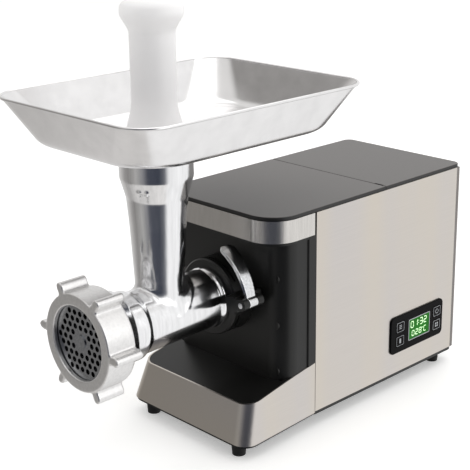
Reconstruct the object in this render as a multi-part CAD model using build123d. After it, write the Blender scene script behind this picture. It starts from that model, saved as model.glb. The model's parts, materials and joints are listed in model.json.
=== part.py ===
from build123d import *
import os
from math import acos, atan2, cos, degrees, hypot, pi, radians, sin, sqrt, tan

# Electric meat grinder. Millimetres, +Z up, -Y is the grinding head's mouth, +X is the control side.
# The design is drawn with y = 0 at the front of the polished trim band; save() centres it at the end.

# ---- clearances ----
RUN = 0.05            # radial clearance of a shaft or pin that turns or slides in its hole
GAP = 0.3             # clearance between faces that pass each other
SEAM = 0.6            # visible seam between cosmetic covers
LAP = 0.1             # clearance between a skin and what it covers

# ---- housing ----
HALF_W = 72.5         # half width over the side panels
CORNER_R = 28.0       # plan radius of the two front corners of the top
REAR_CORNER_R = 8.0   # plan radius of the lid's two rear corners
REAR_EDGE_R = 3.0     # plan radius of the rear cover's corners
BAND_END = 51.6       # rear end of the polished band and of the black front moulding
BORDER_L = 2.2        # black border between the band and the side panels
PANEL_FRONT = BAND_END + BORDER_L
REAR = 265.0          # back face of the rear cover
REAR_COVER_L = 6.2
PANEL_REAR = REAR - REAR_COVER_L
PANEL_BOTTOM = 16.2
PANEL_TOP = 206.2
BAND_H = 20.0
BAND_BOTTOM = PANEL_TOP - BAND_H
COVER_T = 3.2         # thickness of the top covers
COVER_SPLIT = 147.9   # seam between the fixed cover and the storage lid
SKIN_T = 1.2          # stainless sheet
WALL = 2.5            # moulded walls
WALL_Y = 12.5         # front face of the recessed black wall
WALL_INSET = 1.3
WALL_HALF = HALF_W - WALL_INSET    # half width of the recessed wall's sides
WALL_CORNER_R = 18.0
LEDGE_T = 2.3         # underside of the moulding beneath the band

# ---- foot ----
PAD_H = 12.9          # height of the rubber feet
PAD_R = 7.0
PAD_RECESS = 5.0      # depth of the screw's recess
PAD_INSET = 15.2      # from the side and the back to the middle of a foot
PAD_X = HALF_W - PAD_INSET
PAD_FRONT_Y = -28.7
PAD_REAR_Y = REAR - PAD_INSET - 0.4
PAN_T = 3.0
FOOT_Z = 14.9         # lower edge of the foot's skin
FOOT_FRONT = -41.0    # front of the foot at that height
FOOT_SPREAD = 5.5     # how far the foot stands out past the side panels
FOOT_HALF = HALF_W + FOOT_SPREAD
FOOT_RAKE = 0.32      # backward lean of the foot's front face
FOOT_FLARE = 0.18     # inward lean of the foot's sides at the front
FOOT_CORNER_R = 14.0
SHELF_FRONT_Z = 49.0  # height of the shelf at y = SHELF_FRONT_Y
SHELF_FRONT_Y = -30.0
SHELF_SLOPE = 0.187   # rise of the shelf towards the housing
SHELF_T = 2.5

# ---- grinding head ----
AXIS_Z = 126.0        # height of the screw axis
BORE_FRONT_R = 25.2
BORE_TAPER = 3.2      # how much narrower the bore is at the rear
BORE_REAR_R = BORE_FRONT_R - BORE_TAPER
SPIGOT_WALL = 2.0
SPIGOT_R = BORE_REAR_R + SPIGOT_WALL
SPIGOT_END = 12.0
COLLAR_FRONT = -9.5
COLLAR_WALL = 11.0
COLLAR_R = SPIGOT_R + COLLAR_WALL
COLLAR_EAR_H = 13.0
EAR_CLEAR = 1.5       # how far the ear stays outside the collar ahead of its face
COLLAR_THREAD = 9.0   # depth of the collar's screw holes
RING_STEP = 4.0
RING_R = SPIGOT_R + RING_STEP      # bright flange that meets the collar
RING_T = 4.2
BARREL_WALL = 2.6
BARREL_R = BORE_FRONT_R + BARREL_WALL
BARREL_TAPER = 1.3
BARREL_REAR_R = BARREL_R - BARREL_TAPER
BELL_STEP = 2.7
BELL_R = BARREL_R + BELL_STEP
BELL_START = -97.0
BELL_CONE = 12.0      # length of the cone behind the mouth
MOUTH_BACK = -126.5
MOUTH_FRONT = -148.0
CHAMBER_STEP = 5.8
CHAMBER_R = BORE_FRONT_R + CHAMBER_STEP    # knife chamber
CHAMBER_BACK = -134.0
REAR_WALL = -8.0      # front face of the barrel's rear wall
JOURNAL_R = 10.0

PLATE_SEAT = 3.0      # width of the step the plate rests on
PLATE_R = CHAMBER_R + PLATE_SEAT
MOUTH_WALL = 3.5
MOUTH_R = PLATE_R + MOUTH_WALL     # threaded mouth that carries the ring nut
PLATE_T = 6.0
PLATE_BACK = -144.5
HOLE_R = 2.4
HOLE_PITCH = 7.0
STUD_R = 6.0
NUT_FRONT = -155.3
NUT_BACK = -127.0
NUT_WALL = 4.5
NUT_R = MOUTH_R + NUT_WALL
NUT_LIP = 2.0         # how far the nut's lip covers the plate
NUT_MOUTH_R = PLATE_R - NUT_LIP
LUG_COUNT = 6
LUG_FIRST = 57.0      # degrees above +X of the first lug
LUG_REACH = 10.0
LUG_TIP_R = NUT_R + LUG_REACH
LUG_T = 7.6
KNIFE_GAP = 2.0
KNIFE_R = CHAMBER_R - KNIFE_GAP
KNIFE_BOSS_R = 11.0
KNIFE_ARM = 9.0       # width of an arm at its root
KNIFE_SWEEP = 1.5     # how far an arm's leading edge swings forward
KNIFE_TIP = 7.0       # width of an arm at its tip
KNIFE_T = 7.0
KNIFE_SQUARE = 10.0
FLIGHT_GAP = 0.6
HUB_R = 9.5
FIN_ROOT = 5.2        # half thickness of the screw's fin at the axis
FIN_HUB = 5.0
FIN_TIP = 3.0
FLIGHT_PITCH = 42.0
TAIL_HEX = 12.0       # across flats of the auger's drive tail
TAIL_L = 12.0

# ---- feed neck, tray and pusher ----
NECK_Y = -65.0
NECK_BORE_R = 18.5
NECK_TOP = 279.0
FUNNEL_STEP = 9.0
FUNNEL_R = NECK_BORE_R + FUNNEL_STEP
FUNNEL_WALL = 3.8
NECK_COLLAR_R = FUNNEL_R + FUNNEL_WALL
FUNNEL_DEPTH = 35.0
FUNNEL_SLOPE = 9.0    # height of the cone between bore and funnel
FUNNEL_BOTTOM = NECK_TOP - FUNNEL_DEPTH
FUNNEL_TOP = FUNNEL_BOTTOM + FUNNEL_SLOPE
# Outside of the neck from the axis up: wall beyond the bore, and height.
NECK_PROFILE = ((NECK_BORE_R + 2.7, AXIS_Z), (NECK_BORE_R + 3.0, AXIS_Z + 33.0),
                (NECK_BORE_R + 5.7, NECK_TOP - 71.0), (NECK_BORE_R + 7.7, NECK_TOP - 47.0),
                (NECK_COLLAR_R, NECK_TOP - 29.0))
SHEET_T = 1.2
SPOUT_WALL = 1.2
SPOUT_L = 16.0
TRAY_HALF_X = 99.7
TRAY_FRONT = -162.6
TRAY_REAR = 94.4
TRAY_DEPTH = 40.5
TRAY_TOP = NECK_TOP + TRAY_DEPTH
TRAY_LEAN = 20.0      # how far the walls lean in from rim to floor
TRAY_RIM_R = 30.0
TRAY_FLOOR_R = 46.0
TRAY_BEND_R = 7.0
PUSH_SHAFT_R = 19.0
PUSH_ROD_GAP = 0.4
PUSH_ROD_R = NECK_BORE_R - PUSH_ROD_GAP
PUSH_CAP_R = 26.5
PUSH_PROUD = 76.5     # how far the pusher's cap stands above the tray
PUSH_TOP = TRAY_TOP + PUSH_PROUD
PUSH_FLARE_GAP = 0.7
PUSH_FLARE_R = FUNNEL_R - GAP - SPOUT_WALL - PUSH_FLARE_GAP
PUSH_DROP = 86.0      # reach of the rod below the funnel
PUSH_BOTTOM = FUNNEL_BOTTOM - PUSH_DROP

# ---- lock ----
LEVER_ANGLE = 10.3    # polar angle of the lever's pin about the head axis
LEVER_REACH = 20.3
LEVER_R = COLLAR_R + LEVER_REACH
LEVER_T = 3.6
LEVER_TIP_ANGLE = 69.0
LEVER_FRONT = -15.0
LEVER_BACK = -5.0
LEVER_TIP_BACK = 0.0
LEVER_PIN_R = 2.5
KNUCKLE_R = 5.0
TAB_T = 6.5           # reach of the collar's tabs beyond the lever's knuckle
PLUNGER_R = 3.0
PLUNGER_Y = -5.3
PLUNGER_GAP = 0.8
PLUNGER_TRAVEL = 1.0

# ---- controls ----
BEZEL_Y = (160.0, 242.0)
BEZEL_Z = (37.0, 75.0)
BEZEL_R = 5.0
BEZEL_PROUD = 1.6
WINDOW_Y = (188.0, 220.0)
WINDOW_Z = (45.5, 66.0)
KEY_W = 12.5
KEY_H = 11.0
KEY_Y = (174.0, 232.0)
KEY_Z = (49.0, 63.5)

# ---- drive ----
PRESSURE = 25.0       # pressure angle of the gear teeth
ADDENDUM = 0.8        # stub teeth, as a share of the module
THIN = 0.05           # tooth thinning on each flank
FLANK_STEPS = 4       # straight stretches along each involute flank
ROTOR_TEETH = 10
FIRST_TEETH = 50
FIRST_PINION = 12
SECOND_TEETH = 48
SECOND_PINION = 14
OUTPUT_TEETH = 40
FIRST_MODULE = 1.0
SECOND_MODULE = 1.25
OUTPUT_MODULE = 1.5
SECOND_TURN = 30.0    # bearing of the second shaft below the output shaft, towards +X
FIRST_TURN = 75.0     # bearing of the first shaft below the second, towards -X
ROTOR_TURN = 25.0     # bearing of the rotor below the first shaft, towards +X
AXLE_R = 4.0
CASE_WALL = 3.0
CASE_FRONT = 22.0
CASE_BACK = 68.0
CASE_MARGIN = 2.5
FLANGE = 7.8          # how far the gearbox's screw flange stands out
FLANGE_T = 4.0
BOSS_R = 4.0
COVER_PLATE_T = 4.0
OUTPUT_GEAR_Y = (32.0, 44.0)
SECOND_GEAR_Y = (47.0, 55.0)
FIRST_GEAR_Y = (58.0, 64.0)
SHAFT_R = 10.0
SHAFT_TAIL_R = 8.0
BEARING_R = 19.0
BEARING_Y = (18.5, 27.0)

STATOR_W = 58.0
STATOR_H = 54.0
STATOR_Y = (90.0, 128.0)
STATOR_BORE = 18.4
ROTOR_R = 17.8
ROTOR_SHAFT_R = 4.0
COIL_W = 30.0
COIL_H = 6.0
COIL_OVERHANG = 6.0
BRACKET_T = 4.0
REAR_BRACKET_Y = 150.0
COMMUTATOR_R = 11.0
COMMUTATOR_Y = (136.0, 147.0)
FAN_R = 27.0
FAN_Y = (156.5, 167.0)
FAN_BLADES = 12
MOTOR_BOLT_R = 2.0

# ---- storage bin, lid and rear ----
BIN_SIDE = 10.5       # from the side panels to the bin's walls
BIN_HALF_X = HALF_W - BIN_SIDE
BIN_Y = (COVER_SPLIT + 8.1, PANEL_REAR - 4.8)
BIN_DEPTH = 88.2
BIN_BOTTOM = PANEL_TOP - BIN_DEPTH
BIN_T = 1.8
HINGE_Y = REAR - 2.5
HINGE_DROP = 2.4      # hinge axis below the panels' top edge
HINGE_Z = PANEL_TOP - HINGE_DROP
HINGE_R = 2.4
HINGE_PIN_R = 1.2
KNUCKLE_X = (25.0, 38.0)
EAR_X = (15.0, 24.6)
REAR_DROP = 3.6       # how far the rear cover stops below the hinge axis
LIP_HALF_X = 42.0
GLAND_X = -45.0
GLAND_Z = 42.0
GLAND_BORE = 4.0
GLAND_R = 8.0
GLAND_PROUD = 3.0
REAR_SCREW_L = 8.0
REAR_SCREW_X = HALF_W - 12.5
REAR_SCREW_Z = (PANEL_BOTTOM + 13.8, PANEL_TOP - 18.2)
LID_SWEEP = 0.8       # room in front of the hinge for the lid's rear edge to swing
LID_NOTCH = (10.0, 3.0, 1.6)
VENT_COUNT = 11
VENT_PITCH = 8.0
SCREW_R = 1.6
SCREW_HOLE_R = SCREW_R + RUN
SCREW_HEAD_R = 2.9
SCREW_HEAD_T = 2.0
SLOT_L = 4.2
SLOT_W = 0.8
SLOT_DEEP = 1.6

COLLAR_SEAT_R = COLLAR_R - 6.0
KEY_PIN_R = 1.6
STUD_ROOT_R = 4.0
STUD_ROOT_L = 14.0
BOARD_Z = 30.0
BOARD_X = (-64.0, -20.0)
BOARD_Y = (169.0, 250.0)
BOARD_T = 1.6
# Tall parts on the board: x and y from its corner, width, depth and height.
BOARD_BLOCKS = ((4.0, 7.0, 20.0, 22.0, 22.0), (28.0, 9.0, 10.0, 28.0, 18.0), (6.0, 59.0, 34.0, 8.0, 14.0))
BOARD_CAN = (14.0, 43.0, 9.0, 25.0)   # capacitor: x and y from the corner, radius and height
MOTOR_BEARING_R = 9.0
FRONT_BRACKET_Y = CASE_BACK + CASE_WALL
MIDDLE_Y = (TRAY_FRONT + REAR + GLAND_PROUD) / 2
COVER_BOTTOM = PANEL_TOP + SEAM
TOP = COVER_BOTTOM + COVER_T
PAN_TOP = PAD_H + PAN_T
PANEL_IN = HALF_W - SKIN_T


# ---- small helpers ----
def block(x0, x1, y0, y1, z0, z1):
    """A box between two corners."""
    return Pos((x0 + x1) / 2, (y0 + y1) / 2, (z0 + z1) / 2) * Box(x1 - x0, y1 - y0, z1 - z0)


def rod_x(y, z, radius, x0, x1):
    return Pos((x0 + x1) / 2, y, z) * Rot(0, 90, 0) * Cylinder(radius, x1 - x0)


def rod_y(x, z, radius, y0, y1):
    return Pos(x, (y0 + y1) / 2, z) * Rot(90, 0, 0) * Cylinder(radius, y1 - y0)


def rod_z(x, y, radius, z0, z1):
    return Pos(x, y, (z0 + z1) / 2) * Cylinder(radius, z1 - z0)


def tube_y(x, z, outer, inner, y0, y1):
    return rod_y(x, z, outer, y0, y1) - rod_y(x, z, inner, y0 - 1, y1 + 1)


def slab_y(face, y0, y1):
    """Extrude a face drawn in X and Z between two y values."""
    return extrude(Plane.XZ.offset(-y1) * face, y1 - y0)


def slab_z(face, z0, z1):
    return extrude(Pos(0, 0, z0) * face, z1 - z0)


def turned_y(profile):
    """Revolve (radius, y) points about the screw axis."""
    points = [(radius, y, AXIS_Z) for radius, y in profile]
    face = make_face(Polyline(*points, close=True))
    return revolve(face, Axis((0, 0, AXIS_Z), (0, 1, 0)), 360)


def turned_z(profile, y):
    """Revolve (radius, z) points about a vertical axis."""
    points = [(radius, y, z) for radius, z in profile]
    face = make_face(Polyline(*points, close=True))
    return revolve(face, Axis((0, y, 0), (0, 0, 1)), 360)


def rounded_plan(half, front, rear, front_r, rear_r):
    """A rectangle in plan with its own corner radii at the front and the rear."""
    face = make_face(Polyline((-half, front), (half, front), (half, rear), (-half, rear), close=True))
    front_corners = [v for v in face.vertices() if abs(v.Y - front) < 1e-6]
    if front_r > 0:
        face = fillet(front_corners, front_r)
    if rear_r > 0:
        at_rear = [v for v in face.vertices() if abs(v.Y - rear) < 1e-6]
        face = fillet([v for v in at_rear if abs(abs(v.X) - half) < 1e-6], rear_r)
    return face


def polar(radius, angle):
    """X and Z of a point at a polar position about the screw axis."""
    return radius * cos(radians(angle)), AXIS_Z + radius * sin(radians(angle))


def screws_y(places, y_head, length, toward):
    """Pan-head screws along Y. toward is the direction the tip points."""
    heads = []
    for x, z in places:
        y_seat = y_head + SCREW_HEAD_T * toward
        y_tip = y_seat + length * toward
        head = rod_y(x, z, SCREW_HEAD_R, min(y_head, y_seat), max(y_head, y_seat))
        head -= Pos(x, y_head, z) * Box(SLOT_L, SLOT_DEEP, SLOT_W)
        heads.append(head + rod_y(x, z, SCREW_R, min(y_seat, y_tip), max(y_seat, y_tip)))
    return Compound(heads)


# ---- gears ----
def involute(angle):
    return tan(angle) - angle


def gear_face(module, teeth, first_angle, bore):
    """A spur gear in X and Z with a tooth centred at first_angle degrees."""
    pitch = module * teeth / 2
    base = pitch * cos(radians(PRESSURE))
    tip = pitch + ADDENDUM * module
    root = pitch - (ADDENDUM + 0.3) * module
    start = max(base, root)
    at_pitch = pi / (2 * teeth) - THIN / pitch + involute(radians(PRESSURE))
    rise = [] if root >= base else [(root, at_pitch)]
    for step in range(FLANK_STEPS + 1):
        radius = start + (tip - start) * step / FLANK_STEPS
        rise.append((radius, at_pitch - involute(acos(base / radius))))
    points = []
    for tooth in range(teeth):
        centre = radians(first_angle) + 2 * pi * tooth / teeth
        points += [(r * cos(centre - h), r * sin(centre - h)) for r, h in rise]
        points += [(r * cos(centre + h), r * sin(centre + h)) for r, h in reversed(rise)]
    face = make_face(Polyline(*points, close=True))
    return face - Circle(bore) if bore else face


def mesh_angle(first_angle, first_teeth, bearing, second_teeth):
    """Angle of the second gear's tooth that puts a gap on the line of centres."""
    phase = (bearing - first_angle) / (360 / first_teeth)
    return bearing + 180 - (360 / second_teeth) * (0.5 - phase)


def bearing_of(start, end):
    return degrees(atan2(end[1] - start[1], end[0] - start[0]))


def drop(start, distance, turn):
    """The centre at a distance below start, swung by turn degrees towards +X."""
    return start[0] + distance * sin(radians(turn)), start[1] - distance * cos(radians(turn))


OUTPUT_C = (0.0, AXIS_Z)
SECOND_C = drop(OUTPUT_C, OUTPUT_MODULE * (OUTPUT_TEETH + SECOND_PINION) / 2, SECOND_TURN)
FIRST_C = drop(SECOND_C, SECOND_MODULE * (SECOND_TEETH + FIRST_PINION) / 2, -FIRST_TURN)
ROTOR_C = drop(FIRST_C, FIRST_MODULE * (FIRST_TEETH + ROTOR_TEETH) / 2, ROTOR_TURN)

FIRST_ANGLE = mesh_angle(0, ROTOR_TEETH, bearing_of(ROTOR_C, FIRST_C), FIRST_TEETH)
SECOND_ANGLE = mesh_angle(0, FIRST_PINION, bearing_of(FIRST_C, SECOND_C), SECOND_TEETH)
OUTPUT_ANGLE = mesh_angle(0, SECOND_PINION, bearing_of(SECOND_C, OUTPUT_C), OUTPUT_TEETH)


def placed_gear(module, teeth, angle, bore, centre, span):
    face = Pos(centre[0], centre[1]) * gear_face(module, teeth, angle, bore)
    return slab_y(face, span[0], span[1])


# ---- foot ----
def shelf_z(y):
    return SHELF_FRONT_Z + (y - SHELF_FRONT_Y) * SHELF_SLOPE


def foot_outline(z, inset):
    """Plan outline of the foot at a height, moved inwards by inset."""
    front = FOOT_FRONT + (z - FOOT_Z) * FOOT_RAKE + inset
    half = FOOT_HALF - (z - FOOT_Z) * FOOT_FLARE - inset
    rear_half = HALF_W - inset
    face = make_face(Polyline((-half, front), (half, front), (rear_half, PANEL_FRONT),
                              (-rear_half, PANEL_FRONT), close=True))
    corners = [v for v in face.vertices() if abs(v.Y - front) < 1e-6]
    return Pos(0, 0, z) * fillet(corners, FOOT_CORNER_R)


def foot_solid(inset, z0, z1):
    return loft([foot_outline(z0, inset), foot_outline(z1, inset)], ruled=True)


def under_shelf(depth):
    """The space below the sloping shelf surface, lowered by depth."""
    y0 = FOOT_FRONT - 20
    y1 = PANEL_FRONT + 20
    top_front = (y0, shelf_z(y0) - depth)
    top_rear = (y1, shelf_z(y1) - depth)
    face = make_face(Polyline((y0, 0), (y1, 0), top_rear, top_front, close=True))
    return extrude(Plane.YZ.offset(-FOOT_HALF - 10) * face, 2 * FOOT_HALF + 20)


def base_skin():
    top = shelf_z(PANEL_FRONT) + 1
    skin = foot_solid(0, FOOT_Z, top) - foot_solid(SKIN_T, FOOT_Z - 1, top + 1)
    skin &= under_shelf(0)
    return skin - block(-90, 90, PANEL_FRONT - SEAM, PANEL_FRONT + 1, 0, 100)


def base_pan():
    foot = foot_solid(SKIN_T + LAP, PAD_H, PAN_TOP)
    body = slab_z(rounded_plan(HALF_W - 0.4, PANEL_FRONT, REAR - 0.4, 0, REAR_CORNER_R), PAD_H, PAN_TOP)
    pan = foot + body
    rib = block(ROTOR_C[0] - 20, ROTOR_C[0] + 20, STATOR_Y[0] + 8, STATOR_Y[1] - 8,
                PAN_TOP, ROTOR_C[1] - STATOR_H / 2)
    pan += rib
    for x, y in board_posts():
        pan += rod_z(x, y, 3.0, PAN_TOP, BOARD_Z)
    for x in (-PAD_X, PAD_X):
        for y in (PAD_FRONT_Y, PAD_REAR_Y):
            pan += rod_z(x, y, 4.5, PAN_TOP, PAN_TOP + 7)
            pan -= rod_z(x, y, SCREW_HOLE_R, PAD_H - 1, PAN_TOP + 6)
    return pan


def foot_shelf():
    """Black shelf moulding inside the foot's skin."""
    top = shelf_z(PANEL_FRONT) + 1
    body = foot_solid(SKIN_T + LAP, PAN_TOP, top)
    inner = foot_solid(SKIN_T + LAP + WALL, PAN_TOP - 1, top + 1)
    walls = (body - inner) & under_shelf(0)
    plate = (body & under_shelf(0)) - under_shelf(SHELF_T)
    drive_room = block(-HALF_W + 6, HALF_W - 6, WALL_Y + WALL, PANEL_FRONT + 1, PAN_TOP, top + 1)
    return walls + plate - drive_room


def feet():
    pads = []
    for x in (-PAD_X, PAD_X):
        for y in (PAD_FRONT_Y, PAD_REAR_Y):
            pad = Pos(x, y, PAD_H / 2) * Cone(PAD_R - 1.0, PAD_R, PAD_H)
            pad -= rod_z(x, y, SCREW_HEAD_R + GAP, -1, PAD_RECESS)
            pad -= rod_z(x, y, SCREW_HOLE_R, 0, PAD_H + 1)
            pads.append(pad)
    return Compound(pads)


def foot_screw(x, y):
    screw = rod_z(x, y, SCREW_HEAD_R, PAD_RECESS - 2.2, PAD_RECESS)
    screw += rod_z(x, y, SCREW_R, PAD_RECESS, PAN_TOP + 5)
    return screw - Pos(x, y, PAD_RECESS - 2.2) * Box(SLOT_L, SLOT_W, SLOT_DEEP)


# ---- housing ----
def band_plan(inset, rear):
    return rounded_plan(HALF_W - inset, inset, rear, CORNER_R - inset, 0)


def wall_plan(inset, rear):
    return rounded_plan(WALL_HALF - inset, WALL_Y + inset, rear, WALL_CORNER_R - inset, 0)


def trim_band():
    outer = slab_z(band_plan(0, BAND_END), BAND_BOTTOM, PANEL_TOP)
    return outer - slab_z(band_plan(SKIN_T, BAND_END + 1), BAND_BOTTOM - 1, PANEL_TOP + 1)


def front_shell():
    low = shelf_z(WALL_Y) - 8
    ledge = BAND_BOTTOM - LEDGE_T
    rear = PANEL_FRONT - SEAM
    shell = slab_z(wall_plan(0, rear), low, BAND_BOTTOM - LAP)
    border = slab_z(rounded_plan(HALF_W, BAND_END - 8, rear, 0, 0), low, BAND_BOTTOM - LAP)
    border = fillet(border.edges().filter_by(Axis.Z).group_by(Axis.Y)[0], 1.5)
    shell += border
    shell += slab_z(band_plan(0.2, BAND_END), ledge, BAND_BOTTOM - LAP)
    shell -= slab_z(wall_plan(WALL, rear + 1), low - 1, ledge)
    shell -= slab_z(wall_plan(WALL + 5, rear + 1), ledge - 1, PANEL_TOP)
    behind = slab_z(band_plan(SKIN_T + LAP, BAND_END), BAND_BOTTOM - LAP, PANEL_TOP)
    behind -= slab_z(band_plan(SKIN_T + LAP + WALL, BAND_END + 1), ledge, PANEL_TOP + 1)
    shell += behind
    shell -= under_shelf(0)
    shell -= rod_y(0, AXIS_Z, COLLAR_SEAT_R + RUN, WALL_Y - 1, WALL_Y + 20)
    for x, z in collar_screw_places():
        shell -= rod_y(x, z, SCREW_HOLE_R, WALL_Y - 1, WALL_Y + WALL + 1)
    for x, z in cover_screw_places():
        shell += rod_y(x, z, BOSS_R, WALL_Y + WALL - 0.5, CASE_FRONT - COVER_PLATE_T)
        shell -= rod_y(x, z, SCREW_HOLE_R, WALL_Y + WALL, CASE_FRONT)
    return shell


def top_cover():
    plate = slab_z(rounded_plan(HALF_W, 0, COVER_SPLIT, CORNER_R, 0), COVER_BOTTOM, TOP)
    plate = chamfer(plate.edges().group_by(Axis.Z)[-1], 0.5)
    skirt_in = SKIN_T + LAP + WALL + GAP
    skirt = slab_z(rounded_plan(HALF_W - skirt_in, skirt_in, COVER_SPLIT - 4, CORNER_R - skirt_in, 0),
                   COVER_BOTTOM - 3, COVER_BOTTOM)
    inner = skirt_in + 1.6
    skirt -= slab_z(rounded_plan(HALF_W - inner, inner, COVER_SPLIT - 5.6, CORNER_R - inner, 0),
                    COVER_BOTTOM - 4, COVER_BOTTOM)
    skirt -= block(-HALF_W, HALF_W, BAND_END, COVER_SPLIT, COVER_BOTTOM - 4, COVER_BOTTOM)
    return plate + skirt


def storage_lid():
    front = COVER_SPLIT + SEAM
    plate = slab_z(rounded_plan(HALF_W, front, REAR, 0, REAR_CORNER_R), COVER_BOTTOM, TOP)
    plate = chamfer(plate.edges().group_by(Axis.Z)[-1], 0.5)
    lip_bottom = HINGE_Z - 2.0
    plate += block(-LIP_HALF_X, LIP_HALF_X, HINGE_Y + HINGE_PIN_R + 0.4, REAR, lip_bottom, COVER_BOTTOM)
    for side in (-1, 1):
        x0, x1 = sorted((side * KNUCKLE_X[0], side * KNUCKLE_X[1]))
        plate += rod_x(HINGE_Y, HINGE_Z, HINGE_R, x0, x1)
        plate += block(x0, x1, HINGE_Y - HINGE_R, HINGE_Y + HINGE_R, HINGE_Z, COVER_BOTTOM)
        e0, e1 = sorted((side * (EAR_X[0] - GAP), side * (EAR_X[1] + GAP)))
        plate -= block(e0, e1, HINGE_Y - HINGE_R - GAP, REAR + 1, lip_bottom - 1, COVER_BOTTOM)
    plate -= rod_x(HINGE_Y, HINGE_Z, HINGE_PIN_R + RUN, -KNUCKLE_X[1] - 1, KNUCKLE_X[1] + 1)
    notch = Pos(HALF_W - 9, front, TOP) * Box(*LID_NOTCH)
    return plate - notch


def lid_hinge_pin():
    return rod_x(HINGE_Y, HINGE_Z, HINGE_PIN_R, -KNUCKLE_X[1], KNUCKLE_X[1])


def storage_bin():
    rim = PANEL_TOP - 1.0
    outer = slab_z(rounded_plan(BIN_HALF_X, BIN_Y[0], BIN_Y[1], 8, 8), BIN_BOTTOM, rim)
    inner = slab_z(rounded_plan(BIN_HALF_X - BIN_T, BIN_Y[0] + BIN_T, BIN_Y[1] - BIN_T, 6, 6),
                   BIN_BOTTOM + BIN_T, rim + 1)
    flange = slab_z(rounded_plan(PANEL_IN - 0.4, BIN_Y[0] - 3, BIN_Y[1] + 3, 2, 2), rim - BIN_T, rim)
    return (outer + flange) - inner


def body_shell():
    """Moulded side walls and front deck that the stainless panels are fixed to."""
    rear = PANEL_REAR
    outer = PANEL_IN - RUN
    shell = block(-outer, outer, PANEL_FRONT, rear, PAN_TOP, PANEL_TOP)
    shell -= block(-outer + WALL, outer - WALL, PANEL_FRONT - 1, rear + 1, PAN_TOP - 1, PANEL_TOP - WALL)
    hole_front = COVER_SPLIT
    shell -= block(-outer + WALL, outer - WALL, hole_front, rear + 1, PANEL_TOP - WALL - 1, PANEL_TOP + 1)
    shell -= block(-outer - 1, outer + 1, BIN_Y[0] - 3.5, rear + 1, PANEL_TOP - 1.0 - BIN_T, PANEL_TOP + 1)
    shell -= block(-40, 40, PANEL_FRONT + 15, hole_front - 15, PANEL_TOP - WALL - 1, PANEL_TOP + 1)
    shell -= block(0, outer + 1, BEZEL_Y[0] + 2, BEZEL_Y[1] - 2, BEZEL_Z[0] + 2, BEZEL_Z[1] - 2)
    return shell


def side_panel(side):
    x0, x1 = sorted((side * PANEL_IN, side * HALF_W))
    panel = block(x0, x1, PANEL_FRONT, PANEL_REAR - LAP, PANEL_BOTTOM, PANEL_TOP)
    if side > 0:
        panel -= block(x0 - 1, x1 + 1, BEZEL_Y[0] + 2, BEZEL_Y[1] - 2, BEZEL_Z[0] + 2, BEZEL_Z[1] - 2)
    return panel


def rear_screw_places():
    return [(x, z) for x in (-REAR_SCREW_X, REAR_SCREW_X) for z in REAR_SCREW_Z]


def rear_cover():
    plan = rounded_plan(HALF_W, PANEL_REAR, REAR, 0, REAR_EDGE_R)
    cover = slab_z(plan, PAN_TOP + LAP, PANEL_TOP)
    cover -= block(-HALF_W + 6, HALF_W - 6, PANEL_REAR - 1, REAR - WALL, PAN_TOP + 3, PANEL_TOP - 3)
    lip_room = LIP_HALF_X + 1
    cover -= block(-lip_room, lip_room, PANEL_REAR - 1, REAR + 1, HINGE_Z - REAR_DROP, PANEL_TOP + 1)
    for side in (-1, 1):
        x0, x1 = sorted((side * EAR_X[0], side * EAR_X[1]))
        cover += rod_x(HINGE_Y, HINGE_Z, HINGE_R, x0, x1)
        cover += block(x0, x1, HINGE_Y - HINGE_R, HINGE_Y + HINGE_R, HINGE_Z - REAR_DROP - 4, HINGE_Z)
    cover -= rod_x(HINGE_Y, HINGE_Z, HINGE_PIN_R, -KNUCKLE_X[1], KNUCKLE_X[1])
    for row in range(2):
        for index in range(VENT_COUNT):
            x = (index - (VENT_COUNT - 1) / 2) * VENT_PITCH
            z = 92.0 + 52.0 * row
            slot = slab_y(Pos(x, z) * SlotOverall(40.0, 3.2, rotation=90), REAR - WALL - 1, REAR + 1)
            cover -= slot
    cover -= rod_y(GLAND_X, GLAND_Z, GLAND_R - 2, PANEL_REAR, REAR + 1)
    lid_sweep = make_face(Polyline((HINGE_Y + LID_SWEEP, PANEL_TOP + 1), (HINGE_Y + LID_SWEEP, PANEL_TOP),
                                   (REAR + 1, HINGE_Z), (REAR + 1, PANEL_TOP + 1), close=True))
    cover -= extrude(Plane.YZ * lid_sweep, HALF_W, both=True)
    for x, z in rear_screw_places():
        cover += rod_y(x, z, 4.5, PANEL_REAR, REAR - 1)
        cover -= rod_y(x, z, SCREW_HOLE_R, PANEL_REAR - 1, REAR + 1)
        cover -= rod_y(x, z, SCREW_HEAD_R + GAP, REAR - 2.2, REAR + 1)
    return cover


def case_screws():
    """The foot screws and the rear cover's screws, all one size."""
    upright = [foot_screw(x, y) for x in (-PAD_X, PAD_X) for y in (PAD_FRONT_Y, PAD_REAR_Y)]
    rear = screws_y(rear_screw_places(), REAR - 0.2, REAR_SCREW_L, -1)
    return Compound(upright + list(rear.solids()))


def cord_gland():
    gland = rod_y(GLAND_X, GLAND_Z, GLAND_R, REAR, REAR + GLAND_PROUD)
    gland += rod_y(GLAND_X, GLAND_Z, GLAND_R - 2, REAR - WALL - 2, REAR)
    gland += rod_y(GLAND_X, GLAND_Z, GLAND_R, REAR - WALL - 4, REAR - WALL)
    return gland - rod_y(GLAND_X, GLAND_Z, GLAND_BORE, REAR - 20, REAR + 20)


# ---- locking collar and lever ----
PIN_X, PIN_Z = polar(LEVER_R, LEVER_ANGLE)


def radial_rod(radius, r0, r1, y):
    """A rod along the lever pin's radial line."""
    x0, z0 = polar((r0 + r1) / 2, LEVER_ANGLE)
    return Pos(x0, y, z0) * Rot(0, 90 - LEVER_ANGLE, 0) * Cylinder(radius, r1 - r0)


def collar_screw_places():
    return [polar(COLLAR_R - 3.0, angle) for angle in (60.0, 150.0, 240.0, 330.0)]


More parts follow.
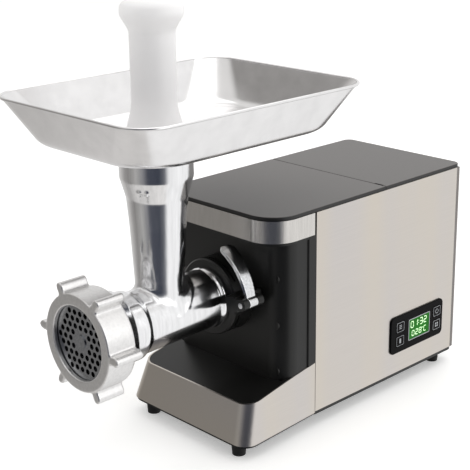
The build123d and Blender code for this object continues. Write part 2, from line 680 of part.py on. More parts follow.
def locking_collar():
    collar = rod_y(0, AXIS_Z, COLLAR_R, COLLAR_FRONT, WALL_Y)
    collar = chamfer(collar.edges().group_by(Axis.Y)[0], 1.2)
    collar += rod_y(0, AXIS_Z, COLLAR_SEAT_R, WALL_Y, WALL_Y + WALL)
    ear_end = LEVER_R - KNUCKLE_R - 1.0
    x_mid, z_mid = polar((COLLAR_R - 8 + ear_end) / 2, LEVER_ANGLE)
    ear_front = LEVER_FRONT - TAB_T
    ear_back = WALL_Y - 3
    ear = Pos(x_mid, 0, z_mid) * Rot(0, -LEVER_ANGLE, 0) * Box(ear_end - COLLAR_R + 8, ear_back - ear_front,
                                                         COLLAR_EAR_H)
    collar += Pos(0, (ear_front + ear_back) / 2, 0) * ear
    for y0, y1 in ((ear_front, LEVER_FRONT - GAP), (LEVER_BACK + GAP, LEVER_BACK + TAB_T)):
        collar += rod_y(PIN_X, PIN_Z, KNUCKLE_R, y0, y1)
        arm_x, arm_z = polar((COLLAR_R - 2 + LEVER_R) / 2, LEVER_ANGLE)
        arm = Box(LEVER_R - COLLAR_R + 2, y1 - y0, 2 * KNUCKLE_R)
        collar += Pos(arm_x, (y0 + y1) / 2, arm_z) * Rot(0, -LEVER_ANGLE, 0) * arm
    collar -= rod_y(PIN_X, PIN_Z, LEVER_PIN_R, LEVER_FRONT - 10, WALL_Y)
    collar -= rod_y(0, AXIS_Z, SPIGOT_R + RUN, LEVER_FRONT - 20, WALL_Y + 20)
    collar -= rod_y(0, AXIS_Z, COLLAR_R + EAR_CLEAR, LEVER_FRONT - 20, COLLAR_FRONT)
    collar -= radial_rod(PLUNGER_R + RUN, SPIGOT_R - 4, LEVER_R, PLUNGER_Y)
    groove = tube_y(0, AXIS_Z, COLLAR_R + 3, COLLAR_R - 1.6, COLLAR_FRONT + 5.0, COLLAR_FRONT + 7.0)
    x_far, _ = polar(COLLAR_R - 6, LEVER_ANGLE)
    collar -= groove - block(x_far, LEVER_R, -30, 30, AXIS_Z - 10, AXIS_Z + 25)
    for x, z in collar_screw_places():
        collar -= rod_y(x, z, SCREW_HOLE_R, WALL_Y - COLLAR_THREAD, WALL_Y + 1)
    return collar


def collar_screws():
    """Screws put in from inside the housing."""
    return screws_y(collar_screw_places(), WALL_Y + WALL + SCREW_HEAD_T, COLLAR_THREAD + WALL - 1, -1)


def lock_lever():
    """Curved strip that follows the collar, wider in Y towards its tip."""
    inner = LEVER_R - LEVER_T / 2
    strip = tube_y(0, AXIS_Z, inner + LEVER_T, inner, LEVER_FRONT, LEVER_TIP_BACK)
    reach = 3 * LEVER_R
    start_x, start_z = polar(reach, LEVER_ANGLE + 1)
    end_x, end_z = polar(reach, LEVER_TIP_ANGLE)
    mid_x, mid_z = polar(2 * reach, (LEVER_ANGLE + LEVER_TIP_ANGLE) / 2)
    sector = make_face(Polyline((0, AXIS_Z), (start_x, start_z), (mid_x, mid_z), (end_x, end_z), close=True))
    strip &= slab_y(sector, LEVER_FRONT - 1, LEVER_TIP_BACK + 1)
    low_z = PIN_Z - KNUCKLE_R
    high_z = polar(LEVER_R, LEVER_TIP_ANGLE)[1] + 4
    side = make_face(Polyline((LEVER_FRONT, low_z), (LEVER_BACK, low_z), (LEVER_BACK, PIN_Z + 8),
                              (LEVER_TIP_BACK, high_z), (LEVER_FRONT, high_z), close=True))
    strip &= extrude(Plane.YZ * side, LEVER_R + 20)
    lever = strip + rod_y(PIN_X, PIN_Z, KNUCKLE_R, LEVER_FRONT, LEVER_BACK)
    return lever - rod_y(PIN_X, PIN_Z, LEVER_PIN_R + RUN, LEVER_FRONT - 1, LEVER_BACK + 1)


def lever_pin():
    return rod_y(PIN_X, PIN_Z, LEVER_PIN_R, LEVER_FRONT - TAB_T - 1, LEVER_BACK + TAB_T)


def lock_plunger():
    outer_end = LEVER_R - KNUCKLE_R - GAP - PLUNGER_TRAVEL
    return radial_rod(PLUNGER_R, SPIGOT_R + PLUNGER_GAP, outer_end, PLUNGER_Y)


# ---- grinding head ----
def neck_bore_tool():
    profile = [(0, AXIS_Z), (NECK_BORE_R, AXIS_Z), (NECK_BORE_R, FUNNEL_BOTTOM), (FUNNEL_R, FUNNEL_TOP),
               (FUNNEL_R, NECK_TOP + 1), (0, NECK_TOP + 1)]
    return turned_z(profile, NECK_Y)


def grinder_barrel():
    ring_front = COLLAR_FRONT - GAP - RING_T
    body = turned_y([(0, SPIGOT_END), (SPIGOT_R, SPIGOT_END), (SPIGOT_R, COLLAR_FRONT - GAP),
                     (RING_R, COLLAR_FRONT - GAP), (RING_R, ring_front), (BARREL_REAR_R, ring_front - 3),
                     (BARREL_R, BELL_START), (BELL_R, BELL_START - 5), (BELL_R, MOUTH_BACK + BELL_CONE),
                     (MOUTH_R - 1, MOUTH_BACK), (MOUTH_R, MOUTH_BACK), (MOUTH_R, MOUTH_FRONT),
                     (0, MOUTH_FRONT)])
    outline = [(0, AXIS_Z)] + list(NECK_PROFILE) + [(NECK_COLLAR_R, NECK_TOP), (0, NECK_TOP)]
    body += turned_z(outline, NECK_Y)
    body -= turned_y([(0, SPIGOT_END + 1), (JOURNAL_R + RUN, SPIGOT_END + 1), (JOURNAL_R + RUN, REAR_WALL),
                      (BORE_REAR_R, REAR_WALL), (BORE_FRONT_R, CHAMBER_BACK), (CHAMBER_R, CHAMBER_BACK),
                      (CHAMBER_R, PLATE_BACK), (PLATE_R + RUN, PLATE_BACK), (PLATE_R + RUN, MOUTH_FRONT - 1),
                      (0, MOUTH_FRONT - 1)])
    body -= neck_bore_tool()
    key_z = AXIS_Z + PLATE_R
    return body - rod_y(0, key_z, KEY_PIN_R, MOUTH_FRONT - 1, PLATE_BACK + 4)


def plate_key_pin():
    return rod_y(0, AXIS_Z + PLATE_R, KEY_PIN_R, MOUTH_FRONT + LAP, PLATE_BACK + 4)


def hole_plate():
    """Perforated plate: a hexagonal field of round holes between the hub and the rim."""
    front = PLATE_BACK - PLATE_T
    face = Circle(PLATE_R) - Circle(STUD_R + RUN)
    rows = int(PLATE_R / HOLE_PITCH) + 1
    places = []
    for row in range(-rows, rows + 1):
        for column in range(-rows, rows + 1):
            x = HOLE_PITCH * (column + 0.5 * (row % 2))
            z = HOLE_PITCH * row * sqrt(3) / 2
            if STUD_R + HOLE_R + 1.5 < hypot(x, z) < NUT_MOUTH_R - HOLE_R - 0.8:
                places.append((x, z))
    holes = Sketch() + [Pos(x, z) * Circle(HOLE_R) for x, z in places]
    plate = slab_y(Pos(0, AXIS_Z) * (face - holes), front, PLATE_BACK)
    return plate - rod_y(0, AXIS_Z + PLATE_R, KEY_PIN_R + 0.2, front - 1, PLATE_BACK + 1)


def ring_nut():
    back_of_lip = PLATE_BACK - PLATE_T - GAP
    nut = turned_y([(NUT_MOUTH_R, NUT_FRONT), (NUT_R - 1.2, NUT_FRONT), (NUT_R, NUT_FRONT + 1.2),
                    (NUT_R, NUT_BACK), (MOUTH_R + 0.4, NUT_BACK), (MOUTH_R + 0.4, back_of_lip),
                    (NUT_MOUTH_R, back_of_lip)])
    for index in range(LUG_COUNT):
        angle = LUG_FIRST + index * 360 / LUG_COUNT
        mid_x, mid_z = polar((NUT_R - 1.5 + LUG_TIP_R) / 2, angle)
        blade = Box(LUG_TIP_R - NUT_R + 1.5, NUT_BACK - NUT_FRONT - 1.0, LUG_T)
        blade = fillet(blade.edges().filter_by(Axis.Y).group_by(Axis.X)[-1], LUG_T / 2 - 0.2)
        nut += Pos(mid_x, (NUT_FRONT + NUT_BACK) / 2, mid_z) * Rot(0, -angle, 0) * blade
    return nut


def cross_knife():
    """Four slightly swept arms on a square-holed boss."""
    face = Circle(KNIFE_BOSS_R)
    half = KNIFE_ARM / 2
    lead = half + KNIFE_SWEEP
    tip = KNIFE_R - KNIFE_GAP
    for index in range(4):
        arm = make_face(Polyline((-half, 0), (half, 0), (lead, tip), (lead - KNIFE_TIP, tip), close=True))
        face += Rot(0, 0, 90 * index + 45) * arm
    face -= Rectangle(KNIFE_SQUARE + 2 * RUN, KNIFE_SQUARE + 2 * RUN)
    front = PLATE_BACK + GAP
    return slab_y(Pos(0, AXIS_Z) * face, front, front + KNIFE_T)


def auger():
    """Screw with a twisted fin whose tip follows the tapered bore."""
    start = CHAMBER_BACK + 0.5
    end = REAR_WALL - 1.0
    length = end - start
    fin = make_face(Polyline((0, -FIN_ROOT), (HUB_R, -FIN_HUB), (BORE_FRONT_R, -FIN_TIP),
                             (BORE_FRONT_R, FIN_TIP), (HUB_R, FIN_HUB), (0, FIN_ROOT), close=True))
    section = Circle(HUB_R) + fin
    turns = length / FLIGHT_PITCH
    flight = Solid.extrude_linear_with_rotation(section.face(), (0, 0, 0), (0, 0, length), 360 * turns)
    flight = Pos(0, end, AXIS_Z) * Rot(90, 0, 0) * flight
    cone = turned_y([(0, start), (BORE_FRONT_R - FLIGHT_GAP, start),
                     (BORE_REAR_R - FLIGHT_GAP, end), (0, end)])
    screw = flight & cone
    screw += rod_y(0, AXIS_Z, HUB_R, start - 2.5, end)
    screw += rod_y(0, AXIS_Z, JOURNAL_R, end, SPIGOT_END)
    hexagon = Pos(0, AXIS_Z) * RegularPolygon(TAIL_HEX / 2, 6, major_radius=False)
    screw += slab_y(hexagon, SPIGOT_END, SPIGOT_END + TAIL_L)
    return screw - rod_y(0, AXIS_Z, STUD_ROOT_R, start - 3, start + STUD_ROOT_L)


def auger_stud():
    """Hardened front stud: a square for the knife and a journal for the plate."""
    start = CHAMBER_BACK - 2.0
    square = Pos(0, AXIS_Z) * Rectangle(KNIFE_SQUARE, KNIFE_SQUARE)
    stud = slab_y(square, PLATE_BACK + GAP, start)
    stud += rod_y(0, AXIS_Z, STUD_R - 1, PLATE_BACK, PLATE_BACK + GAP)
    stud += rod_y(0, AXIS_Z, STUD_R, PLATE_BACK - PLATE_T - 1.0, PLATE_BACK)
    return stud + rod_y(0, AXIS_Z, STUD_ROOT_R, start, CHAMBER_BACK + STUD_ROOT_L)


def thrust_washer():
    return tube_y(0, AXIS_Z, 16.0, JOURNAL_R, REAR_WALL - 1.0, REAR_WALL - RUN)


# ---- tray and pusher ----
def tray_plan(inset, radius):
    plan = RectangleRounded(2 * (TRAY_HALF_X - inset), TRAY_REAR - TRAY_FRONT - 2 * inset, radius)
    return Pos(0, (TRAY_FRONT + TRAY_REAR) / 2, 0) * plan


def tray_solid(inset, floor_z):
    """The tray's outer form as a ruled loft, with a small bend at the floor."""
    rim = Pos(0, 0, TRAY_TOP) * tray_plan(inset, TRAY_RIM_R - inset)
    knee = Pos(0, 0, floor_z + TRAY_BEND_R) * tray_plan(TRAY_LEAN - 4 + inset, TRAY_FLOOR_R - 6 - inset)
    floor = Pos(0, 0, floor_z) * tray_plan(TRAY_LEAN + TRAY_BEND_R - 4 + inset, TRAY_FLOOR_R - 6 - inset)
    return loft([rim, knee], ruled=True) + loft([knee, floor], ruled=True)


def hopper_tray():
    tray = tray_solid(0, NECK_TOP + RUN) - tray_solid(SHEET_T, NECK_TOP + RUN + SHEET_T)
    rim = slab_z(tray_plan(0, TRAY_RIM_R), TRAY_TOP - 1.6, TRAY_TOP)
    rim -= slab_z(tray_plan(2.4, TRAY_RIM_R - 2.4), TRAY_TOP - 3, TRAY_TOP + 1)
    tray += rim
    spout_r = FUNNEL_R - GAP
    tray += rod_z(0, NECK_Y, spout_r, NECK_TOP - SPOUT_L, NECK_TOP + RUN + SHEET_T)
    return tray - rod_z(0, NECK_Y, spout_r - SPOUT_WALL, NECK_TOP - SPOUT_L - 1, NECK_TOP + 10)


def pusher():
    """Solid plunger with a flared stop that sits in the tray's mouth and a domed cap."""
    flare_z = NECK_TOP + 2.0
    profile = [(0, PUSH_BOTTOM), (PUSH_ROD_R - 1, PUSH_BOTTOM), (PUSH_ROD_R, PUSH_BOTTOM + 1),
               (PUSH_ROD_R, FUNNEL_BOTTOM + 2), (PUSH_FLARE_R, FUNNEL_TOP + 6), (PUSH_FLARE_R, flare_z),
               (22.9, flare_z + 13), (20.2, flare_z + 22), (PUSH_SHAFT_R, flare_z + 31),
               (PUSH_SHAFT_R, PUSH_TOP - 24), (PUSH_CAP_R - 1, PUSH_TOP - 13.5), (PUSH_CAP_R, PUSH_TOP - 10),
               (PUSH_CAP_R - 1.2, PUSH_TOP - 4), (PUSH_CAP_R - 5, PUSH_TOP - 0.8), (PUSH_CAP_R - 9, PUSH_TOP),
               (0, PUSH_TOP)]
    return turned_z(profile, NECK_Y)


# ---- controls ----
def rounded_side(y_span, z_span, radius, x0, x1):
    """A rounded rectangle in Y and Z, extruded along X."""
    plan = RectangleRounded(y_span[1] - y_span[0], z_span[1] - z_span[0], radius)
    face = Plane.YZ.offset(x0) * (Pos((y_span[0] + y_span[1]) / 2, (z_span[0] + z_span[1]) / 2) * plan)
    return extrude(face, x1 - x0)


def key_places():
    return [(y, z) for y in KEY_Y for z in KEY_Z]


def key_block(y, z, grow, x0, x1):
    half_w = KEY_W / 2 + grow
    half_h = KEY_H / 2 + grow
    return rounded_side((y - half_w, y + half_w), (z - half_h, z + half_h), 1.0, x0, x1)


def control_bezel():
    inset = 2 + LAP
    bezel = rounded_side(BEZEL_Y, BEZEL_Z, BEZEL_R, HALF_W, HALF_W + BEZEL_PROUD)
    bezel = chamfer(bezel.edges().group_by(Axis.X)[-1], 0.5)
    span_y = (BEZEL_Y[0] + inset, BEZEL_Y[1] - inset)
    span_z = (BEZEL_Z[0] + inset, BEZEL_Z[1] - inset)
    bezel += rounded_side(span_y, span_z, 1.0, PANEL_IN - WALL, HALF_W)
    bezel -= rounded_side(WINDOW_Y, WINDOW_Z, 0.8, PANEL_IN - WALL - 1, HALF_W + 5)
    for y, z in key_places():
        bezel -= key_block(y, z, GAP, PANEL_IN - WALL - 1, HALF_W + 5)
    return bezel


def display_window():
    inset = LAP
    span_y = (WINDOW_Y[0] + inset, WINDOW_Y[1] - inset)
    span_z = (WINDOW_Z[0] + inset, WINDOW_Z[1] - inset)
    return rounded_side(span_y, span_z, 0.7, PANEL_IN - WALL, HALF_W + BEZEL_PROUD - 0.2)


def display_board():
    back = PANEL_IN - WALL - 2
    return block(back - 1.6, back, BEZEL_Y[0] + 3, BEZEL_Y[1] - 3, BEZEL_Z[0] + 3, BEZEL_Z[1] - 3)


def key(y, z):
    return key_block(y, z, 0, PANEL_IN - WALL - 1.0, HALF_W + BEZEL_PROUD + 0.3)


def board_posts():
    return [(x, y) for x in (BOARD_X[0] + 5, BOARD_X[1] - 5) for y in (BOARD_Y[0] + 5, BOARD_Y[1] - 5)]


def power_board():
    """Mains filter and drive board with its tall parts."""
    seat = BOARD_Z + BOARD_T
    board = block(BOARD_X[0], BOARD_X[1], BOARD_Y[0], BOARD_Y[1], BOARD_Z, seat)
    for x, y, width, depth, height in BOARD_BLOCKS:
        x0 = BOARD_X[0] + x
        y0 = BOARD_Y[0] + y
        board += block(x0, x0 + width, y0, y0 + depth, seat, seat + height)
    x, y, radius, height = BOARD_CAN
    board += rod_z(BOARD_X[0] + x, BOARD_Y[0] + y, radius, seat, seat + height)
    return board


# ---- motor ----
def motor_bolt_places():
    return [(ROTOR_C[0] + sx * (STATOR_W / 2 - 5), ROTOR_C[1] + sz * (STATOR_H / 2 - 5))
            for sx in (-1, 1) for sz in (-1, 1)]


def motor_block(half_w, half_h, y0, y1, radius):
    face = Pos(ROTOR_C[0], ROTOR_C[1]) * RectangleRounded(2 * half_w, 2 * half_h, radius)
    return slab_y(face, y0, y1)


def drill_bolts(part, y0, y1):
    for x, z in motor_bolt_places():
        part -= rod_y(x, z, MOTOR_BOLT_R, y0, y1)
    return part


def motor_stator():
    stator = motor_block(STATOR_W / 2, STATOR_H / 2, STATOR_Y[0], STATOR_Y[1], 6)
    stator -= rod_y(ROTOR_C[0], ROTOR_C[1], STATOR_BORE, STATOR_Y[0] - 1, STATOR_Y[1] + 1)
    for side in (-1, 1):
        stator -= coil(side, LAP)
    return drill_bolts(stator, STATOR_Y[0] - 1, STATOR_Y[1] + 1)


def coil(side, grow):
    z = ROTOR_C[1] + side * (STATOR_BORE + COIL_H / 2 + 0.4)
    return block(ROTOR_C[0] - COIL_W / 2 - grow, ROTOR_C[0] + COIL_W / 2 + grow,
                 STATOR_Y[0] - COIL_OVERHANG - grow, STATOR_Y[1] + COIL_OVERHANG + grow,
                 z - COIL_H / 2 - grow, z + COIL_H / 2 + grow)


def field_coils():
    return Compound([coil(-1, 0), coil(1, 0)])


def bracket(plate_y, post_y):
    """End plate with four posts that reach the stator."""
    part = motor_block(STATOR_W / 2, STATOR_H / 2, plate_y, plate_y + BRACKET_T, 6)
    for x, z in motor_bolt_places():
        part += rod_y(x, z, 4.0, post_y[0], post_y[1])
    part -= rod_y(ROTOR_C[0], ROTOR_C[1], MOTOR_BEARING_R, plate_y - 1, plate_y + BRACKET_T + 1)
    return drill_bolts(part, plate_y - 1, max(plate_y + BRACKET_T, post_y[1]) + 1)


def motor_front_bracket():
    return bracket(FRONT_BRACKET_Y, (FRONT_BRACKET_Y + BRACKET_T, STATOR_Y[0]))


def motor_rear_bracket():
    part = bracket(REAR_BRACKET_Y, (STATOR_Y[1], REAR_BRACKET_Y))
    for x, z in motor_bolt_places():
        part -= rod_y(x, z, MOTOR_BOLT_R, STATOR_Y[1] - 1, REAR_BRACKET_Y + 1)
    return part


def motor_bolts():
    bolts = []
    for x, z in motor_bolt_places():
        bolt = rod_y(x, z, MOTOR_BOLT_R, FRONT_BRACKET_Y, REAR_BRACKET_Y + BRACKET_T)
        bolts.append(bolt + rod_y(x, z, 3.4, REAR_BRACKET_Y + BRACKET_T, REAR_BRACKET_Y + BRACKET_T + 2))
    return Compound(bolts)


def motor_bearings():
    rings = []
    for y in (FRONT_BRACKET_Y, REAR_BRACKET_Y):
        rings.append(tube_y(ROTOR_C[0], ROTOR_C[1], MOTOR_BEARING_R, ROTOR_SHAFT_R + RUN, y, y + BRACKET_T))
    return Compound(rings)


def brush_holders():
    """Two brass tubes either side of the commutator, bridged to the rear bracket by their feet."""
    middle = (COMMUTATOR_Y[0] + COMMUTATOR_Y[1]) / 2
    parts = []
    for side in (-1, 1):
        x0, x1 = sorted((ROTOR_C[0] + side * (COMMUTATOR_R + 1), ROTOR_C[0] + side * (STATOR_W / 2 - 2)))
        holder = block(x0, x1, middle - 4, middle + 4, ROTOR_C[1] - 4, ROTOR_C[1] + 4)
        holder -= block(x0 - 1, x1 + 1, middle - 2.5, middle + 2.5, ROTOR_C[1] - 2.5, ROTOR_C[1] + 2.5)
        holder += block(x0 + 4, x1 - 4, middle + 4, REAR_BRACKET_Y, ROTOR_C[1] - 3, ROTOR_C[1] + 3)
        parts.append(holder)
    return Compound(parts)


def carbon_brushes():
    middle = (COMMUTATOR_Y[0] + COMMUTATOR_Y[1]) / 2
    parts = []
    for side in (-1, 1):
        x0, x1 = sorted((ROTOR_C[0] + side * (COMMUTATOR_R + GAP), ROTOR_C[0] + side * (STATOR_W / 2 - 8)))
        parts.append(block(x0, x1, middle - 2.4, middle + 2.4, ROTOR_C[1] - 2.4, ROTOR_C[1] + 2.4))
    return Compound(parts)


def rotor_core():
    """Laminated core with twelve winding slots."""
    face = Circle(ROTOR_R) - Circle(ROTOR_SHAFT_R)
    for index in range(12):
        slot = Pos(ROTOR_R - 3.5, 0) * SlotOverall(9.0, 2.4)
        face -= Rot(0, 0, 30 * index) * slot
    return slab_y(Pos(ROTOR_C[0], ROTOR_C[1]) * face, STATOR_Y[0], STATOR_Y[1])


def commutator():
    face = Circle(COMMUTATOR_R) - Circle(ROTOR_SHAFT_R)
    for index in range(24):
        face -= Rot(0, 0, 15 * index) * (Pos(COMMUTATOR_R, 0) * Rectangle(2.4, 0.5))
    return slab_y(Pos(ROTOR_C[0], ROTOR_C[1]) * face, COMMUTATOR_Y[0], COMMUTATOR_Y[1])


def rotor_shaft():
    shaft = rod_y(ROTOR_C[0], ROTOR_C[1], ROTOR_SHAFT_R, CASE_BACK - 1, FAN_Y[1] + 1)
    pinion = placed_gear(FIRST_MODULE, ROTOR_TEETH, 0, 0, ROTOR_C, (FIRST_GEAR_Y[0] - 1, CASE_BACK - 1))
    return shaft + pinion


def cooling_fan():
    fan = tube_y(ROTOR_C[0], ROTOR_C[1], 9.0, ROTOR_SHAFT_R, FAN_Y[0], FAN_Y[1])
    fan += tube_y(ROTOR_C[0], ROTOR_C[1], FAN_R, 8.0, FAN_Y[0], FAN_Y[0] + 1.5)
    for index in range(FAN_BLADES):
        blade = Box(FAN_R - 8.5, FAN_Y[1] - FAN_Y[0] - 1, 1.4)
        turn = Rot(0, -360 * index / FAN_BLADES, 0)
        place = Pos(ROTOR_C[0], (FAN_Y[0] + FAN_Y[1]) / 2, ROTOR_C[1])
        fan += place * turn * Pos((FAN_R + 7.5) / 2, 0, 0) * blade
    return fan


# ---- gearbox ----
CASE_X = (FIRST_C[0] - FIRST_MODULE * (FIRST_TEETH / 2 + 1) - CASE_MARGIN,
          SECOND_C[0] + SECOND_MODULE * (SECOND_TEETH / 2 + 1) + CASE_MARGIN)
CASE_Z = (ROTOR_C[1] - FIRST_MODULE * (ROTOR_TEETH / 2 + 1) - CASE_MARGIN,
          OUTPUT_C[1] + OUTPUT_MODULE * (OUTPUT_TEETH / 2 + 1) + CASE_MARGIN)


def cover_screw_places():
    out = CASE_WALL + SCREW_HEAD_R + LAP
    return [(x, z) for x in (CASE_X[0] - out, CASE_X[1] + out)
            for z in (CASE_Z[0] + 20, (CASE_Z[0] + CASE_Z[1]) / 2 + 6, CASE_Z[1] - 8)]


def case_block(grow, y0, y1, radius):
    width = CASE_X[1] - CASE_X[0] + 2 * grow
    height = CASE_Z[1] - CASE_Z[0] + 2 * grow
    centre = Pos((CASE_X[0] + CASE_X[1]) / 2, (CASE_Z[0] + CASE_Z[1]) / 2)
    return slab_y(centre * RectangleRounded(width, height, radius), y0, y1)


def gearbox_case():
    case = case_block(CASE_WALL, CASE_FRONT, CASE_BACK + CASE_WALL, 8)
    case += case_block(FLANGE, CASE_FRONT, CASE_FRONT + FLANGE_T, 8)
    case -= case_block(0, CASE_FRONT - 1, CASE_BACK, 6)
    case += rod_y(OUTPUT_C[0], OUTPUT_C[1], SHAFT_TAIL_R + 5, SECOND_GEAR_Y[1] + 5, CASE_BACK)
    case -= rod_y(OUTPUT_C[0], OUTPUT_C[1], SHAFT_TAIL_R + RUN, SECOND_GEAR_Y[1] + 4, CASE_BACK + 0.5)
    for centre in (FIRST_C, SECOND_C):
        case -= rod_y(centre[0], centre[1], AXLE_R + RUN, CASE_BACK - 1, CASE_BACK + CASE_WALL + 1)
    case -= rod_y(ROTOR_C[0], ROTOR_C[1], ROTOR_SHAFT_R + 2, CASE_BACK - 1, CASE_BACK + CASE_WALL + 1)
    for x, z in cover_screw_places():
        case -= rod_y(x, z, SCREW_HOLE_R, CASE_FRONT - 1, CASE_FRONT + FLANGE_T + 1)
    return case


def gearbox_cover():
    """Front plate with the output bearing's boss; it sits on the black wall's bosses."""
    front = CASE_FRONT - COVER_PLATE_T
    cover = case_block(FLANGE, front, CASE_FRONT, 8)
    cover += rod_y(OUTPUT_C[0], OUTPUT_C[1], BEARING_R + 4, CASE_FRONT, BEARING_Y[1])
    cover -= rod_y(OUTPUT_C[0], OUTPUT_C[1], BEARING_R, front - 1, BEARING_Y[1] + 1)
    for centre in (FIRST_C, SECOND_C):
        cover -= rod_y(centre[0], centre[1], AXLE_R + RUN, front - 1, CASE_FRONT + 1)
    for x, z in cover_screw_places():
        cover -= rod_y(x, z, SCREW_HOLE_R, front - 1, CASE_FRONT + 1)
    return cover


def gearbox_screws():
    head = CASE_FRONT + FLANGE_T + SCREW_HEAD_T
    tip = WALL_Y + WALL + GAP
    return screws_y(cover_screw_places(), head, head - SCREW_HEAD_T - tip, -1)


def gear_axles():
    front = CASE_FRONT - COVER_PLATE_T
    back = CASE_BACK + CASE_WALL
    return Compound([rod_y(centre[0], centre[1], AXLE_R, front, back) for centre in (FIRST_C, SECOND_C)])


def cluster(module, teeth, angle, span, pinion_module, pinion_teeth, pinion_span, centre):
    bore = AXLE_R + RUN
    wheel = placed_gear(module, teeth, angle, bore, centre, span)
    pinion = placed_gear(pinion_module, pinion_teeth, 0, bore, centre, pinion_span)
    return wheel + pinion


def first_gear():
    return cluster(FIRST_MODULE, FIRST_TEETH, FIRST_ANGLE, FIRST_GEAR_Y, SECOND_MODULE, FIRST_PINION,
                   (SECOND_GEAR_Y[0] - 0.7, FIRST_GEAR_Y[0]), FIRST_C)


def second_gear():
    return cluster(SECOND_MODULE, SECOND_TEETH, SECOND_ANGLE, SECOND_GEAR_Y, OUTPUT_MODULE, SECOND_PINION,
                   (OUTPUT_GEAR_Y[0] - 1, SECOND_GEAR_Y[0]), SECOND_C)


def output_gear():
    return placed_gear(OUTPUT_MODULE, OUTPUT_TEETH, OUTPUT_ANGLE, SHAFT_R, OUTPUT_C, OUTPUT_GEAR_Y)


def output_shaft():
    front = SPIGOT_END + 1.0
    shaft = rod_y(0, AXIS_Z, SHAFT_R, front, OUTPUT_GEAR_Y[1] + 1)
    shaft += rod_y(0, AXIS_Z, SHAFT_TAIL_R, OUTPUT_GEAR_Y[1] + 1, CASE_BACK - 1)
    socket = Pos(0, AXIS_Z) * RegularPolygon(TAIL_HEX / 2 + 0.15, 6, major_radius=False)
    return shaft - slab_y(socket, front - 1, SPIGOT_END + TAIL_L + 1.5)


def output_bearing():
    return tube_y(0, AXIS_Z, BEARING_R, SHAFT_R + RUN, BEARING_Y[0], BEARING_Y[1])


NODES = {
    "base_pan": base_pan,
    "base_skin": base_skin,
    "foot_shelf": foot_shelf,
    "feet": feet,
    "body_shell": body_shell,
    "side_panel_left": lambda: side_panel(-1),
    "side_panel_right": lambda: side_panel(1),
    "front_shell": front_shell,
    "trim_band": trim_band,
    "top_cover": top_cover,
    "storage_lid": storage_lid,
    "lid_hinge_pin": lid_hinge_pin,
    "storage_bin": storage_bin,
    "rear_cover": rear_cover,
    "case_screws": case_screws,
    "cord_gland": cord_gland,
    "locking_collar": locking_collar,
    "collar_screws": collar_screws,
    "lock_lever": lock_lever,
    "lever_pin": lever_pin,
    "lock_plunger": lock_plunger,
    "grinder_barrel": grinder_barrel,
    "plate_key_pin": plate_key_pin,
    "hole_plate": hole_plate,
    "ring_nut": ring_nut,
    "cross_knife": cross_knife,
    "auger": auger,
    "auger_stud": auger_stud,
    "thrust_washer": thrust_washer,
    "hopper_tray": hopper_tray,
    "pusher": pusher,
    "control_bezel": control_bezel,
    "display_window": display_window,
    "display_board": display_board,
    "power_board": power_board,
    "motor_stator": motor_stator,
    "field_coils": field_coils,
    "motor_front_bracket": motor_front_bracket,
    "motor_rear_bracket": motor_rear_bracket,
    "motor_bolts": motor_bolts,
    "motor_bearings": motor_bearings,
    "brush_holders": brush_holders,
    "carbon_brushes": carbon_brushes,
    "rotor_core": rotor_core,
    "commutator": commutator,
    "rotor_shaft": rotor_shaft,
    "cooling_fan": cooling_fan,
    "gearbox_case": gearbox_case,
    "gearbox_cover": gearbox_cover,
    "gearbox_screws": gearbox_screws,
    "first_gear": first_gear,
    "gear_axles": gear_axles,
    "second_gear": second_gear,
    "output_gear": output_gear,
    "output_shaft": output_shaft,
    "output_bearing": output_bearing,
}


def save(name, shape):
    """Write one node, moved so that the model's box is centred on the origin in Y."""
    export_step(Pos(0, -MIDDLE_Y, 0) * shape, f"parts/{name}.step")


os.makedirs("parts", exist_ok=True)
for node_name, make in NODES.items():
    save(node_name, make())
for number, (key_y, key_z) in enumerate(key_places(), start=1):
    save(f"key_{number}", key(key_y, key_z))
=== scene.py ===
# Visual model of a countertop electric meat grinder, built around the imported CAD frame.
# Meshes are in metres in the CAD frame. Shapes are written in drawing millimetres, which place() turns to
# metres; MM turns any other length in millimetres.
import json
from math import atan2, cos, hypot, pi, radians, sin, sqrt

import bmesh
import bpy
from mathutils import Matrix, Vector


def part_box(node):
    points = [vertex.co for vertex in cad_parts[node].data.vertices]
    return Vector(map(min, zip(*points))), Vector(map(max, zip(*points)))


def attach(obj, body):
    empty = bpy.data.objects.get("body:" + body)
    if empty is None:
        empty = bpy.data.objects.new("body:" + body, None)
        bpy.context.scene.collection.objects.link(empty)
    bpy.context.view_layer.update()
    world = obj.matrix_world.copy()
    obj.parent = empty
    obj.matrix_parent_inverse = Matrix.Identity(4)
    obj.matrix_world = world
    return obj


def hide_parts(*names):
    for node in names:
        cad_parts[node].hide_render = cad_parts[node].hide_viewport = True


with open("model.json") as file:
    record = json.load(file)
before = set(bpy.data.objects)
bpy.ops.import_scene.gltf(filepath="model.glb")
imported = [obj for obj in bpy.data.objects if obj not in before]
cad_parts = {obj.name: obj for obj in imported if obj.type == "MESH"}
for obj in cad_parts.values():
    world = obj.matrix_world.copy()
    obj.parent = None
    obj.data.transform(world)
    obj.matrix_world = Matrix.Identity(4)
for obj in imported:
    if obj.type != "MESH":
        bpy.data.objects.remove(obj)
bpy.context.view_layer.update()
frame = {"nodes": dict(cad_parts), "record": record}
NODES = frame["nodes"]
MM = 0.001
# The CAD was drawn with y = 0 at the front of the polished band, then centred.
Y_SHIFT = 52.7


def place(x, y, z):
    """A point given in drawing millimetres, in the row frame."""
    return Vector((x * MM, (y - Y_SHIFT) * MM, z * MM))


# ---------------------------------------------------------------- materials

def linear(code):
    """An sRGB hex value as an opaque linear colour."""
    parts = [int(code[i:i + 2], 16) / 255 for i in (0, 2, 4)]
    return tuple(c / 12.92 if c <= 0.04045 else ((c + 0.055) / 1.055) ** 2.4 for c in parts) + (1.0,)


